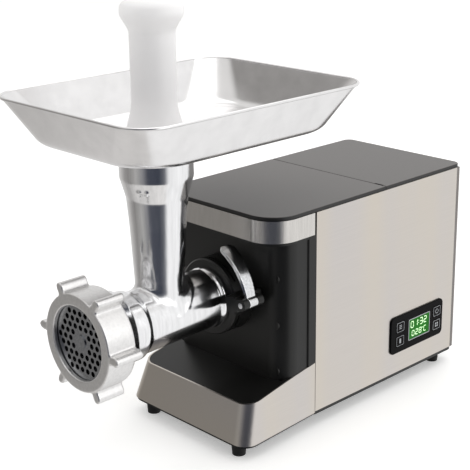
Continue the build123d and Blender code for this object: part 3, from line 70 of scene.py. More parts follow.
def add(tree, kind, settings=None, links=None):
    """One node, with its settings (properties, input values or colour stops) and its links."""
    made = tree.nodes.new(kind)
    for key, value in (settings or {}).items():
        if key == "stops":
            stops = made.color_ramp.elements
            for position, code in value[1:-1]:
                stops.new(position)
            for stop, (position, code) in zip(stops, value):
                stop.position = position
                stop.color = linear(code)
        elif isinstance(key, str) and hasattr(made, key):
            setattr(made, key, value)
        else:
            made.inputs[key].default_value = value
    for key, source in (links or {}).items():
        tree.links.new(source, made.inputs[key])
    return made


def new_material(name):
    """An empty node material with its output, and the point it is evaluated at in object space."""
    material = bpy.data.materials.new(name)
    material.use_nodes = True
    tree = material.node_tree
    tree.nodes.clear()
    where = add(tree, "ShaderNodeTexCoord").outputs["Object"]
    return material, tree, where


def close_material(tree, shader):
    add(tree, "ShaderNodeOutputMaterial", links={"Surface": shader.outputs[0]})


PLASTIC_IOR = 1.53
# How far a noise pattern spreads the two colours of a finish apart.
RAMP_LOW, RAMP_HIGH = 0.3, 0.7


def moulded(name, dark, light, rough, grain=0.9, depth=0.03, spec=0.5):
    """Injection-moulded plastic: an even colour with the tool's fine spark texture.

    grain and depth are in millimetres."""
    cloud_size, gloss_spread = 45, 0.04
    material, tree, where = new_material(name)
    spark = add(tree, "ShaderNodeTexNoise", {"Scale": 1 / (grain * MM), "Detail": 3.0, "Roughness": 0.6},
                {"Vector": where})
    cloud = add(tree, "ShaderNodeTexNoise", {"Scale": 1 / (cloud_size * MM), "Detail": 2.0},
                {"Vector": where})
    colour = add(tree, "ShaderNodeValToRGB", {"stops": ((RAMP_LOW, dark), (RAMP_HIGH, light))},
                 {"Fac": cloud.outputs[0]})
    gloss = add(tree, "ShaderNodeMapRange", {"To Min": rough - gloss_spread, "To Max": rough + gloss_spread},
                {"Value": cloud.outputs[0]})
    bump = add(tree, "ShaderNodeBump", {"Strength": 0.35, "Distance": depth * MM},
               {"Height": spark.outputs[0]})
    close_material(tree, add(tree, "ShaderNodeBsdfPrincipled",
                             {"IOR": PLASTIC_IOR, "Specular IOR Level": spec},
                             {"Base Color": colour.outputs[0], "Roughness": gloss.outputs[0],
                              "Normal": bump.outputs[0]}))
    return material


# Tint bands painted over rolled sheet as reflection of the room, in bands per metre on each axis: narrow
# along y, long upright.
PAINTED_REFLECTION_BANDS = (4, 26, 1.5)


def metal(name, dark, light, rough, grain=(1.4, 1.4, 1.4), depth=0.004, spread=0.05, patch=40,
          reflection_tints=("FFFFFF", "FFFFFF")):
    """Bare metal. grain is the length of a grain on each axis in millimetres, so unequal values are brushing;
    depth and patch are in millimetres; the two tints of the last argument are painted reflection, drifting
    over the sheet in upright bands."""
    material, tree, where = new_material(name)
    along = add(tree, "ShaderNodeMapping", {"Scale": tuple(1 / (length * MM) for length in grain)},
                {"Vector": where})
    lines = add(tree, "ShaderNodeTexNoise", {"Scale": 1.0, "Detail": 4.0, "Roughness": 0.55},
                {"Vector": along.outputs[0]})
    cloud = add(tree, "ShaderNodeTexNoise", {"Scale": 1 / (patch * MM), "Detail": 2.0}, {"Vector": where})
    both = add(tree, "ShaderNodeMath", {"operation": "MULTIPLY"}, {0: lines.outputs[0], 1: cloud.outputs[0]})
    gloss = add(tree, "ShaderNodeMapRange", {"To Min": rough - spread, "To Max": rough + spread * 2},
                {"Value": both.outputs[0]})
    bump = add(tree, "ShaderNodeBump", {"Strength": 0.4, "Distance": depth * MM},
               {"Height": lines.outputs[0]})
    colour = add(tree, "ShaderNodeValToRGB", {"stops": ((RAMP_LOW, dark), (RAMP_HIGH, light))},
                 {"Fac": lines.outputs[0]})
    # The upright tint bands are painted reflection of the room, laid into the metal's colour.
    upright = add(tree, "ShaderNodeMapping", {"Scale": PAINTED_REFLECTION_BANDS}, {"Vector": where})
    drift = add(tree, "ShaderNodeTexNoise", {"Scale": 1.0, "Detail": 1.0}, {"Vector": upright.outputs[0]})
    tint = add(tree, "ShaderNodeValToRGB", {"stops": ((RAMP_LOW, reflection_tints[0]), (RAMP_HIGH, reflection_tints[1]))},
               {"Fac": drift.outputs[0]})
    blend = add(tree, "ShaderNodeMix", {"data_type": "RGBA", "blend_type": "MULTIPLY", 0: 1.0},
                {6: colour.outputs[0], 7: tint.outputs[0]})
    close_material(tree, add(tree, "ShaderNodeBsdfPrincipled", {"Metallic": 1.0},
                             {"Base Color": blend.outputs[2], "Roughness": gloss.outputs[0],
                              "Normal": bump.outputs[0]}))
    return material


# Brushed 18/10 stainless sheet: long horizontal grain that smears reflections into soft bands, with faint
# warm and cool reflection bands painted into its colour.
stainless = metal("brushed_stainless_sheet", "CFCBC6", "D4D0CB", 0.30, (1.1, 83, 0.45), 0.0006, 0.03, 40,
                  ("FFFBF4", "F9F8FA"))
# Polished stainless strip: bright soft reflections, with fine upright drawing lines whose light and dark
# streaks in the colour are also painted reflection stripes.
strip = metal("polished_stainless_strip", "CBC8C4", "DAD7D3", 0.27, (1.6, 1.6, 33), 0.0006, 0.02)
# Polished cast aluminium: bright, slightly soft mirror with a faint cast ripple under the polish.
casting = metal("polished_cast_aluminium", "E6E6E7", "F4F4F5", 0.17, (3.5, 3.5, 60), 0.004, 0.03, 22)
# Tumbled cast aluminium of the ring nut: the same alloy, duller, so it picks up light from all round.
tumbled = metal("tumbled_cast_aluminium", "E0DFDE", "ECEBEA", 0.37, (2.5, 2.5, 2.5), 0.01, 0.04, 18)
# Polished pressed aluminium sheet: bright and a little softer than the casting.
pressed = metal("pressed_aluminium_sheet", "E6E5E5", "EEEDED", 0.22, (16, 16, 16), 0.002, 0.02, 60)
# Ground stainless steel: darker, with a fine even grain.
ground = metal("ground_stainless_steel", "8F9194", "B4B6B9", 0.24, (1.1, 1.1, 1.1), 0.004)
# Satin black ABS moulding: deep neutral black that greys at grazing angles.
black_abs = moulded("satin_black_abs", "121211", "191918", 0.34, spec=0.35)
# Satin grey ABS rear frame.
frame_abs = moulded("satin_grey_abs", "6E6966", "787371", 0.42)
# Moulded rubber: dull black.
rubber = moulded("moulded_rubber", "0E0E0E", "171717", 0.75, 0.5, 0.05, 0.3)
# Zinc-plated screw steel: pale, slightly cloudy.
zinc = metal("zinc_plated_steel", "A3A6AA", "C6C8CA", 0.30)
# Unfilled white polypropylene: waxy, with a wide soft sheen.
pusher_white = moulded("white_polypropylene", "F3F2F2", "F9F8F8", 0.38, 1.2, 0.02)
# White nylon bush.
nylon = moulded("white_nylon", "D9D6CC", "E4E1D8", 0.45)
# Gloss black ABS: a smooth skin with hardly any sheen.
gloss_black = moulded("gloss_black_abs", "090909", "0D0D0E", 0.20, 2.0, 0.002, 0.04)
# Key caps: the same black, a shade lighter.
key_black = moulded("gloss_black_key_caps", "0B0B0C", "101011", 0.22, 2.0, 0.002, 0.04)
# Fibreglass circuit board under green solder mask.
solder_mask = moulded("green_solder_mask", "0F3A1C", "17512A", 0.35)
# Laminated silicon steel: blue-grey stacked sheets.
lamination = metal("laminated_silicon_steel", "4B4D50", "6A6C70", 0.45, (17, 0.6, 17), 0.03)
# Enamelled copper winding.
copper = metal("enamelled_copper", "8A4522", "B8693A", 0.28, (0.8, 0.8, 0.8), 0.02)
# Brass.
brass = metal("drawn_brass", "A98445", "CBA662", 0.30)
# Die-cast alloy: grey and grainy.
die_cast = metal("die_cast_zinc_alloy", "7E8083", "9B9DA0", 0.42, (2, 2, 2), 0.02)
# Pressed carbon: matt black.
carbon = moulded("pressed_carbon", "0D0D0D", "181818", 0.65)
# Ground shaft steel.
shaft = metal("ground_shaft_steel", "8B8E92", "B3B6BA", 0.22, (1.1, 17, 1.1), 0.004)
# Sintered gear steel: dull and porous.
sintered = metal("sintered_gear_steel", "56585B", "73757A", 0.50, (0.8, 0.8, 0.8), 0.03)
# Glass-filled nylon: near-black with faint fibres.
filled_nylon = moulded("glass_filled_nylon", "17181A", "222326", 0.52, 0.7, 0.06)
# Polished steel strip of the locking lever.
lever_steel = metal("polished_lever_steel", "D2D3D5", "E6E7E8", 0.18, (2, 2, 2), 0.001, 0.02)


def lit(name, dark, light, patch, rough, glow, spec):
    """A back-lit layer: its own colour, a little uneven, with a faint glow; patch in millimetres."""
    material, tree, where = new_material(name)
    cloud = add(tree, "ShaderNodeTexNoise", {"Scale": 1 / (patch * MM), "Detail": 1.0}, {"Vector": where})
    colour = add(tree, "ShaderNodeValToRGB", {"stops": ((RAMP_LOW, dark), (RAMP_HIGH, light))},
                 {"Fac": cloud.outputs[0]})
    close_material(tree, add(tree, "ShaderNodeBsdfPrincipled",
                             {"Roughness": rough, "Emission Strength": glow, "Specular IOR Level": spec},
                             {"Base Color": colour.outputs[0], "Emission Color": colour.outputs[0]}))
    return material


def grey_top_over_painted_shade_edge(name, low, high, height, rough):
    """Grey textured top over an edge painted near-black as shade; the colours part at a height in drawing
    millimetres.
    """
    grain, depth, gloss_spread = 0.8, 0.04, 0.03
    material, tree, where = new_material(name)
    spark = add(tree, "ShaderNodeTexNoise", {"Scale": 1 / (grain * MM), "Detail": 3.0}, {"Vector": where})
    level = add(tree, "ShaderNodeSeparateXYZ", links={0: where})
    # Below this height the cover's edge is painted near-black, as the shade it stands in.
    above = add(tree, "ShaderNodeMath", {"operation": "GREATER_THAN", 1: height * MM},
                {0: level.outputs["Z"]})
    blend = add(tree, "ShaderNodeMix", {"data_type": "RGBA", 6: linear(low), 7: linear(high)},
                {0: above.outputs[0]})
    gloss = add(tree, "ShaderNodeMapRange", {"To Min": rough - gloss_spread, "To Max": rough + gloss_spread},
                {"Value": spark.outputs[0]})
    bump = add(tree, "ShaderNodeBump", {"Strength": 0.35, "Distance": depth * MM},
               {"Height": spark.outputs[0]})
    close_material(tree, add(tree, "ShaderNodeBsdfPrincipled", {"IOR": PLASTIC_IOR},
                             {"Base Color": blend.outputs[2], "Roughness": gloss.outputs[0],
                              "Normal": bump.outputs[0]}))
    return material


# Fine-textured grey ABS cover whose edge is painted near-black as shade: the top picks up a wide soft sheen.
grey_abs = grey_top_over_painted_shade_edge("textured_grey_abs_painted_shade_edge", "0C0B0B", "5C5957", 209.7, 0.40)
# Back-lit liquid-crystal panel: saturated green.
display_green = lit("backlit_green_display", "12600C", "187212", 14, 0.3, 0.16, 0.1)
# Lit display segments: pale green, brighter than the panel behind them.
segments = lit("lit_display_segments", "C4F0B4", "E2FFD6", 3, 0.3, 0.7, 0.1)
# Pad-printed pale grey ink for the key marks.
printed_grey = moulded("pad_printed_grey_ink", "9DA0A3", "B4B7BA", 0.55, 0.3, 0.01)

FINISH = {
    "stainless_panel": stainless, "polished_band": strip, "black_moulding": black_abs,
    "grey_cover": grey_abs, "rear_frame": frame_abs, "rubber": rubber, "screw_steel": zinc,
    "cast_aluminium": casting, "tray_aluminium": pressed, "hard_steel": ground,
    "pusher_plastic": pusher_white, "white_bush": nylon, "bezel_black": gloss_black,
    "key_black": key_black, "display_green": display_green, "board_green": solder_mask,
    "lamination": lamination, "copper": copper, "brass": brass, "bracket_alloy": die_cast,
    "carbon": carbon, "shaft_steel": shaft, "gear_steel": sintered, "gear_nylon": nylon,
    "case_plastic": filled_nylon, "lever_steel": lever_steel,
}
SLOT_OF = {part["node"]: part["material_slot"] for part in frame["record"]["subparts"]}
for node_name, cad in NODES.items():
    finish = FINISH[SLOT_OF[node_name]]
    if not cad.material_slots:
        cad.data.materials.append(finish)
    for slot in cad.material_slots:
        slot.material = finish


# ---------------------------------------------------------------- mesh helpers

# Points closer than this many millimetres are one: in a drawn mesh, and in a copy of a CAD mesh.
DRAWN_WELD, CAD_WELD = 0.02, 0.005


def piece_from(name, mesh, body, replaced=(), slot_name=None, finish=None, crease=35):
    """Finish a piece: smooth shading with sharp creases, its material, its body and slot, and the nodes it
    stands for. crease is in degrees."""
    obj = bpy.data.objects.new(name, mesh)
    bpy.context.scene.collection.objects.link(obj)
    mesh.materials.clear()
    mesh.materials.append(finish or FINISH[slot_name])
    mesh.polygons.foreach_set("use_smooth", [True] * len(mesh.polygons))
    mesh.set_sharp_from_angle(angle=radians(crease))
    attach(obj, body)
    if replaced:
        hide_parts(*replaced)
    return obj


def mesh_of(name, points, faces):
    mesh = bpy.data.meshes.new(name)
    mesh.from_pydata([tuple(p) for p in points], [], faces)
    mesh.validate()
    return mesh


def tidy_normals(mesh):
    """Merge doubles and turn every face outwards."""
    form = bmesh.new()
    form.from_mesh(mesh)
    bmesh.ops.remove_doubles(form, verts=form.verts, dist=DRAWN_WELD * MM)
    bmesh.ops.recalc_face_normals(form, faces=form.faces)
    form.to_mesh(mesh)
    form.free()
    return mesh


def applied(obj):
    """The object's mesh with its modifiers applied, as a new plain mesh."""
    bpy.context.view_layer.update()
    evaluated = obj.evaluated_get(bpy.context.evaluated_depsgraph_get())
    mesh = bpy.data.meshes.new_from_object(evaluated)
    bpy.data.objects.remove(obj)
    return mesh


def modified(name, mesh, *steps):
    """Run (kind, settings) modifiers over a mesh and give the result back as a mesh."""
    obj = bpy.data.objects.new(name, mesh)
    bpy.context.scene.collection.objects.link(obj)
    for kind, settings in steps:
        modifier = obj.modifiers.new(kind.lower(), kind)
        for key, value in settings.items():
            setattr(modifier, key, value)
    return applied(obj)


def loops_mesh(name, loops, closed=True, cap=False):
    """Skin rows of points that all have the same count; closed rows join end to start."""
    count = len(loops[0])
    points = [p for loop in loops for p in loop]
    faces = []
    for row in range(len(loops) - 1):
        for k in range(count if closed else count - 1):
            a = row * count + k
            b = row * count + (k + 1) % count
            faces.append((a, b, b + count, a + count))
    if cap:
        faces.append(tuple(range(count - 1, -1, -1)))
        faces.append(tuple(range((len(loops) - 1) * count, len(loops) * count)))
    return mesh_of(name, points, faces)


# ---------------------------------------------------------------- stage, light and camera

def build_stage():
    """Plain pale floor with a faint glow of its own, kept out of the metal's reflections."""
    half = 4
    mesh = mesh_of("floor", [(-half, -half, 0), (half, -half, 0), (half, half, 0), (-half, half, 0)],
                   [(0, 1, 2, 3)])
    floor = bpy.data.objects.new("floor", mesh)
    bpy.context.scene.collection.objects.link(floor)
    material, tree, where = new_material("pale_painted_board")
    mottle = add(tree, "ShaderNodeTexNoise", {"Scale": 3.0}, {"Vector": where})
    colour = add(tree, "ShaderNodeValToRGB", {"stops": ((RAMP_LOW, "F4F4F3"), (RAMP_HIGH, "F8F8F7"))},
                 {"Fac": mottle.outputs[0]})
    close_material(tree, add(tree, "ShaderNodeBsdfPrincipled", {"Roughness": 0.6, "Emission Strength": 0.35},
                             {"Base Color": colour.outputs[0], "Emission Color": colour.outputs[0]}))
    mesh.materials.append(material)
    floor.visible_glossy = False


def compass(*stops):
    """Ramp stops from (degrees from +X towards +Y, hex) pairs."""
    return tuple(((degree + 180) / 360, code) for degree, code in stops)


def build_world():
    """A light tent: white above and at the right rear, grey at the left, a dark opening at the front."""
    world = bpy.data.worlds.new("light_tent")
    bpy.context.scene.world = world
    world.use_nodes = True
    tree = world.node_tree
    tree.nodes.clear()
    way = add(tree, "ShaderNodeTexCoord").outputs["Generated"]
    split = add(tree, "ShaderNodeSeparateXYZ", links={0: way})
    bearing = add(tree, "ShaderNodeMath", {"operation": "ARCTAN2"},
                  {0: split.outputs["Y"], 1: split.outputs["X"]})
    turn = add(tree, "ShaderNodeMapRange", {"From Min": -pi, "From Max": pi}, {"Value": bearing.outputs[0]})
    low = add(tree, "ShaderNodeValToRGB", {"stops": compass(
        (-180, "D8D6D5"), (-137, "DAD8D6"), (-95, "DCDAD8"), (-60, "E4E2E0"), (-10, "EFEDEB"),
        (4, "FFFFFF"), (62, "FFFFFF"), (137, "E4E4E4"), (180, "D8D6D5"))}, {"Fac": turn.outputs[0]})
    middle = add(tree, "ShaderNodeValToRGB", {"stops": compass(
        (-180, "C9C7C5"), (-152, "9C9A98"), (-137, "8E8C8A"), (-104, "AFAEAC"), (-84, "8A8A8D"),
        (-68, "4B4E58"), (-32, "3E424D"), (-14, "74767C"), (-2, "FFFFFF"), (62, "FFFFFF"),
        (137, "F4F4F4"), (180, "C9C7C5"))}, {"Fac": turn.outputs[0]})
    floor_line = add(tree, "ShaderNodeMapRange",
                     {"From Min": -0.66, "From Max": -0.50, "interpolation_type": "SMOOTHSTEP"},
                     {"Value": split.outputs["Z"]})
    roof_line = add(tree, "ShaderNodeMapRange",
                    {"From Min": 0.42, "From Max": 0.72, "interpolation_type": "SMOOTHSTEP"},
                    {"Value": split.outputs["Z"]})
    walls = add(tree, "ShaderNodeMix", {"data_type": "RGBA"},
                {"Factor": floor_line.outputs[0], 6: low.outputs[0], 7: middle.outputs[0]})
    tent = add(tree, "ShaderNodeMix", {"data_type": "RGBA", 7: linear("E9E8E7")},
               {"Factor": roof_line.outputs[0], 6: walls.outputs[2]})
    back = add(tree, "ShaderNodeBackground", {"Strength": 1.0}, {"Color": tent.outputs[2]})
    add(tree, "ShaderNodeOutputWorld", links={"Surface": back.outputs[0]})


def soft_box(name, where, size, power, mirrored=True):
    """A rectangular area light aimed at the object, in metres and watts; one that isn't mirrored stays out of
    the metal's reflections."""
    aim = Vector((0.0, 0.0, 0.15))
    light = bpy.data.lights.new(name, "AREA")
    light.shape = "RECTANGLE"
    light.size, light.size_y = size
    light.energy = power
    obj = bpy.data.objects.new(name, light)
    bpy.context.scene.collection.objects.link(obj)
    obj.location = where
    obj.rotation_euler = (aim - Vector(where)).to_track_quat("-Z", "Y").to_euler()
    obj.visible_glossy = mirrored


def build_camera():
    """Camera at the viewing angle, with a small shift that frames the machine."""
    stand = place(723.16, -673.4, 510.1)
    yaw, pitch, roll = radians(46.59), radians(16.56), radians(-0.84)
    ahead = Vector((-sin(yaw), cos(yaw), 0))
    right = Vector((cos(yaw), sin(yaw), 0))
    up = Vector((0, 0, 1))
    look = ahead * cos(pitch) - up * sin(pitch)
    top = up * cos(pitch) + ahead * sin(pitch)
    side = right * cos(roll) + top * sin(roll)
    top = top * cos(roll) - right * sin(roll)
    data = bpy.data.cameras.new("camera")
    camera = bpy.data.objects.new("camera", data)
    bpy.context.scene.collection.objects.link(camera)
    turn = Matrix((side, top, -look)).transposed().to_4x4()
    camera.matrix_world = Matrix.Translation(stand) @ turn
    data.sensor_width = 36
    data.lens = 90.158
    data.shift_x = 0.0255
    data.shift_y = -0.08
    bpy.context.scene.camera = camera


build_stage()
build_world()
build_camera()
bpy.context.scene.view_settings.view_transform = "Standard"
soft_box("overhead_box", (0.1, 0.25, 1.5), (1.8, 1.6), 7)
soft_box("side_box", (1.5, 0.35, 0.85), (0.9, 1.1), 3)
soft_box("fill_box", (-0.9, -1.4, 0.9), (1.2, 1.2), 6, mirrored=False)

# ---------------------------------------------------------------- shape helpers

def turned(name, profile, centre, axis="y", steps=96, closed=True):
    """A closed profile of (radius, along) in drawing millimetres, turned about the axis through centre."""
    loops = []
    for k in range(steps):
        angle = 2 * pi * k / steps
        row = []
        for radius, along in profile:
            across, up = radius * cos(angle), radius * sin(angle)
            if axis == "y":
                row.append(place(centre[0] + across, along, centre[1] + up))
            else:
                row.append(place(centre[0] + across, centre[1] + up, along))
        loops.append(row)
    loops.append(loops[0])
    return tidy_normals(loops_mesh(name, loops, closed=closed))


def rounded(points, radius, steps=6):
    """Round each inner corner of an open profile with a quadratic curve of about this radius."""
    out = [points[0]]
    for before, corner, after in zip(points, points[1:], points[2:]):
        def toward(target):
            span = hypot(target[0] - corner[0], target[1] - corner[1])
            share = min(radius / span, 0.45)
            return (corner[0] + (target[0] - corner[0]) * share, corner[1] + (target[1] - corner[1]) * share)
        start, end = toward(before), toward(after)
        for k in range(steps + 1):
            t = k / steps
            out.append(tuple((1 - t) ** 2 * start[i] + 2 * t * (1 - t) * corner[i] + t * t * end[i]
                             for i in (0, 1)))
    out.append(points[-1])
    return out


def rounded_rectangle(half_x, y0, y1, radius, z):
    """A level loop of points in drawing millimetres, counter-clockwise from the front right corner."""
    corner_steps = 14
    loop = []
    for cx, cy, start in ((half_x - radius, y0 + radius, -90), (half_x - radius, y1 - radius, 0),
                          (radius - half_x, y1 - radius, 90), (radius - half_x, y0 + radius, 180)):
        for k in range(corner_steps + 1):
            angle = radians(start + 90 * k / corner_steps)
            loop.append((cx + radius * cos(angle), cy + radius * sin(angle), z))
    return loop


def side_loop(y0, y1, z0, z1, radius, x, corner_steps=6):
    """A loop that faces +X, in drawing millimetres."""
    loop = []
    for cy, cz, start in ((y1 - radius, z0 + radius, -90), (y1 - radius, z1 - radius, 0),
                          (y0 + radius, z1 - radius, 90), (y0 + radius, z0 + radius, 180)):
        for k in range(corner_steps + 1):
            angle = radians(start + 90 * k / corner_steps)
            loop.append(place(x, cy + radius * cos(angle), cz + radius * sin(angle)))
    return loop


def joined(name, *meshes):
    """One mesh from several, which are removed."""
    form = bmesh.new()
    for mesh in meshes:
        form.from_mesh(mesh)
        bpy.data.meshes.remove(mesh)
    out = bpy.data.meshes.new(name)
    form.to_mesh(out)
    form.free()
    return out


def merged_copy(name, *node_names):
    """A copy of the CAD meshes with their loose triangles merged."""
    form = bmesh.new()
    for node in node_names:
        form.from_mesh(NODES[node].data)
    bmesh.ops.remove_doubles(form, verts=form.verts, dist=CAD_WELD * MM)
    out = bpy.data.meshes.new(name)
    form.to_mesh(out)
    form.free()
    return out


def cast(name, mesh, voxel, passes):
    """Fuse overlapping solids and soften every edge, as a casting's are; voxel in millimetres."""
    return modified(name, mesh,
                    ("REMESH", {"mode": "VOXEL", "voxel_size": voxel * MM, "use_smooth_shade": True}),
                    ("SMOOTH", {"factor": 0.5, "iterations": passes}))


def grown(name, mesh, tree, values):
    """Run a geometry node tree over a mesh, with its named inputs set, and give a plain mesh back."""
    obj = bpy.data.objects.new(name, mesh)
    bpy.context.scene.collection.objects.link(obj)
    modifier = obj.modifiers.new("grow", "NODES")
    modifier.node_group = tree
    for item in tree.interface.items_tree:
        if item.item_type == "SOCKET" and item.in_out == "INPUT" and item.name in values:
            modifier[item.identifier] = values[item.name]
    return applied(obj)


def new_tree(name, *inputs):
    """A geometry node tree with its Geometry sockets and the named inputs (name, socket type)."""
    tree = bpy.data.node_groups.new(name, "GeometryNodeTree")
    tree.interface.new_socket("Geometry", in_out="INPUT", socket_type="NodeSocketGeometry")
    tree.interface.new_socket("Geometry", in_out="OUTPUT", socket_type="NodeSocketGeometry")
    for label, kind in inputs:
        tree.interface.new_socket(label, in_out="INPUT", socket_type=kind)
    return tree, add(tree, "NodeGroupInput").outputs


def close_tree(tree, geometry, material):
    """End a tree with Realize Instances and Set Material."""
    real = add(tree, "GeometryNodeRealizeInstances", links={"Geometry": geometry})
    coloured = add(tree, "GeometryNodeSetMaterial", links={"Geometry": real.outputs[0], "Material": material})
    add(tree, "NodeGroupOutput", links={"Geometry": coloured.outputs[0]})
    return tree


def round_axis_tree():
    """Copies of the input geometry turned about the Y axis at equal steps."""
    tree, given = new_tree("copies_round_the_axis", ("Count", "NodeSocketInt"),
                           ("First angle", "NodeSocketFloat"), ("Step", "NodeSocketFloat"),
                           ("Material", "NodeSocketMaterial"))
    line = add(tree, "GeometryNodeMeshLine", {"Offset": (0, 0, 0)}, {"Count": given["Count"]})
    index = add(tree, "GeometryNodeInputIndex")
    turned_by = add(tree, "ShaderNodeMath", {"operation": "MULTIPLY"},
                    {0: index.outputs[0], 1: given["Step"]})
    angle = add(tree, "ShaderNodeMath", {"operation": "ADD"},
                {0: turned_by.outputs[0], 1: given["First angle"]})
    rotation = add(tree, "ShaderNodeCombineXYZ", links={"Y": angle.outputs[0]})
    copies = add(tree, "GeometryNodeInstanceOnPoints",
                 links={"Points": line.outputs[0], "Instance": given["Geometry"],
                        "Rotation": rotation.outputs[0]})
    return close_tree(tree, copies.outputs[0], given["Material"])


ROUND_AXIS = round_axis_tree()

# ---------------------------------------------------------------- grinding head

AXIS_Z = 126.0
NECK_Y = -65.0
AXIS = (0.0, AXIS_Z)
NECK = (0.0, NECK_Y)
BARREL_R = 27.8


def neck_root():
    """The cast fillet that carries the neck into the barrel, as a closed ring of metal round the bore."""
    inner, neck_r, sweep, sink = 20.0, 21.2, 6.5, 1.0
    steps, curve_steps = 72, 8
    bite, rim_clear = 0.3, 0.5

    def barrel_z(reach, angle):
        across = min(abs(reach * cos(angle)), BARREL_R - rim_clear)
        return AXIS_Z + sqrt(BARREL_R ** 2 - across ** 2)

    loops = []
    for k in range(steps + 1):
        angle = 2 * pi * (k % steps) / steps

        def at(reach, z):
            return place(reach * cos(angle), NECK_Y + reach * sin(angle), z)

        out = neck_r + sweep
        foot = (out, barrel_z(out, angle) - bite)
        corner = (neck_r, barrel_z(neck_r, angle))
        top = (neck_r, corner[1] + sweep)
        row = [at(inner, top[1])]
        for step in range(curve_steps + 1):
            t = step / curve_steps
            row.append(at(*[(1 - t) ** 2 * top[i] + 2 * t * (1 - t) * corner[i] + t * t * foot[i]
                            for i in (0, 1)]))
        row.append(at(out, foot[1] - sink))
        row.append(at(inner, barrel_z(inner, angle) - sink))
        loops.append(row)
    return tidy_normals(loops_mesh("neck_root", loops))


def lump(x0, x1, y0, y1, z0, z1):
    """A small tapered block of metal that gets its rounding when it is fused in."""
    taper = 0.8
    low = [(x0, y0, z0), (x1, y0, z0), (x1, y1, z0), (x0, y1, z0)]
    high = [(x0 + taper, y0 + taper, z1), (x1 - taper, y0 + taper, z1),
            (x1 - taper, y1 - taper, z1), (x0 + taper, y1 - taper, z1)]
    rows = [[place(*p) for p in low], [place(*p) for p in high]]
    return tidy_normals(loops_mesh("lump", rows, cap=True))


def button(radius, along, up, angle):
    """A low round boss on the neck, facing the given angle: sunk foot, shoulder and narrower face."""
    rows = []
    steps = 16
    for reach, share in ((-2.0, 1.0), (0.6, 1.0), (1.0, 0.6)):
        row = []
        for k in range(steps):
            turn = 2 * pi * k / steps
            side, rise = radius * share * cos(turn), radius * share * sin(turn)
            out = along + reach
            row.append(place(out * cos(angle) - side * sin(angle),
                             NECK_Y + out * sin(angle) + side * cos(angle), up + rise))
        rows.append(row)
    return tidy_normals(loops_mesh("button", rows, cap=True))


def build_barrel():
    """Barrel, neck and funnel as one polished casting, with a boss and a rib on top and two buttons."""
    boss = lump(-9, 5, -121, -112, AXIS_Z + 29, AXIS_Z + 33.2)
    rib = lump(-2.2, 2.2, -113, -84, AXIS_Z + 26.5, AXIS_Z + 29.3)
    parts = [merged_copy("barrel_copy", "grinder_barrel"), neck_root(), boss, rib]
    button_r, button_reach, button_z = 1.6, 28.9, 242.0
    for turn in (-70, -57):
        parts.append(button(button_r, button_reach, button_z, radians(turn)))
    mesh = cast("barrel_casting", joined("barrel_parts", *parts), voxel=0.95, passes=7)
    piece_from("barrel_casting", mesh, "head", ("grinder_barrel",), "cast_aluminium", crease=70)


def lug_outline(tip, root, thick, bulb):
    """Half outline of a lug seen from the front, as (reach, half thickness)."""
    return [(root, thick * 1.15), (root + 2.5, thick * 0.62), (tip - bulb * 1.9, thick * 0.5),
            (tip - bulb, bulb), (tip - bulb * 0.25, bulb * 0.72), (tip, 0.01)]


def lug(front, back):
    """One gripping lug, built on the axis pointing along +X, in millimetres from the axis."""
    tip, root, thick, bulb = 52.0, 39.5, 7.2, 4.1
    chamfer, face_share = 0.9, 0.55
    half = rounded(lug_outline(tip, root, thick, bulb), 1.6, 4)
    outline = half + [(reach, -side) for reach, side in reversed(half)]
    rows = []
    for along, share in ((front, face_share), (front + chamfer, 1.0),
                         (back - chamfer, 1.0), (back, face_share)):
        rows.append([Vector((reach if reach < root + 1 else root + (reach - root) * (0.96 + 0.04 * share),
                             along, side * share)) * MM for reach, side in outline])
    return tidy_normals(loops_mesh("lug", rows, cap=True))


def build_ring_nut():
    """Threaded ring with six gripping lugs, one tumbled casting."""
    front, back, lip_back = -155.3, -127.0, -150.8
    mouth_r, nut_r, thread_r = 32.0, 42.0, 37.9
    lug_count, first_lug = 6, 57
    lugs = grown("nut_lugs", lug(front + 0.6, back - 0.4), ROUND_AXIS,
                 {"Count": lug_count, "First angle": -radians(first_lug), "Step": -radians(360 / lug_count),
                  "Material": tumbled})
    lugs.transform(Matrix.Translation(place(0, 0, AXIS_Z)))
    profile = rounded([(mouth_r, front + 2), (mouth_r, front), (nut_r, front), (nut_r, back),
                       (thread_r, back), (thread_r, lip_back), (mouth_r, lip_back)], 1.5)
    ring = turned("nut_ring", profile, AXIS)
    mesh = cast("ring_nut_casting", joined("nut_parts", ring, lugs), voxel=0.62, passes=6)
    piece_from("ring_nut_casting", mesh, "ring_nut", ("ring_nut",), "cast_aluminium", finish=tumbled,
               crease=70)


def build_pusher():
    """Solid moulded plunger: rod, flare that rests in the tray's mouth, shaft and domed cap."""
    profile = [(0.01, 158.0), (18.1, 158.0), (18.1, 246.0), (25.3, 259.0), (25.3, 280.5), (22.9, 294.0),
               (20.2, 303.0), (19.0, 312.0), (19.0, 371.0), (25.6, 382.0), (26.5, 386.0), (25.4, 392.4),
               (20.5, 395.4), (16.0, 396.0), (0.01, 396.0)]
    mesh = turned("plunger", rounded(profile, 3.5), NECK, axis="z", closed=False)
    piece_from("plunger", mesh, "pusher", ("pusher",), "pusher_plastic", crease=50)


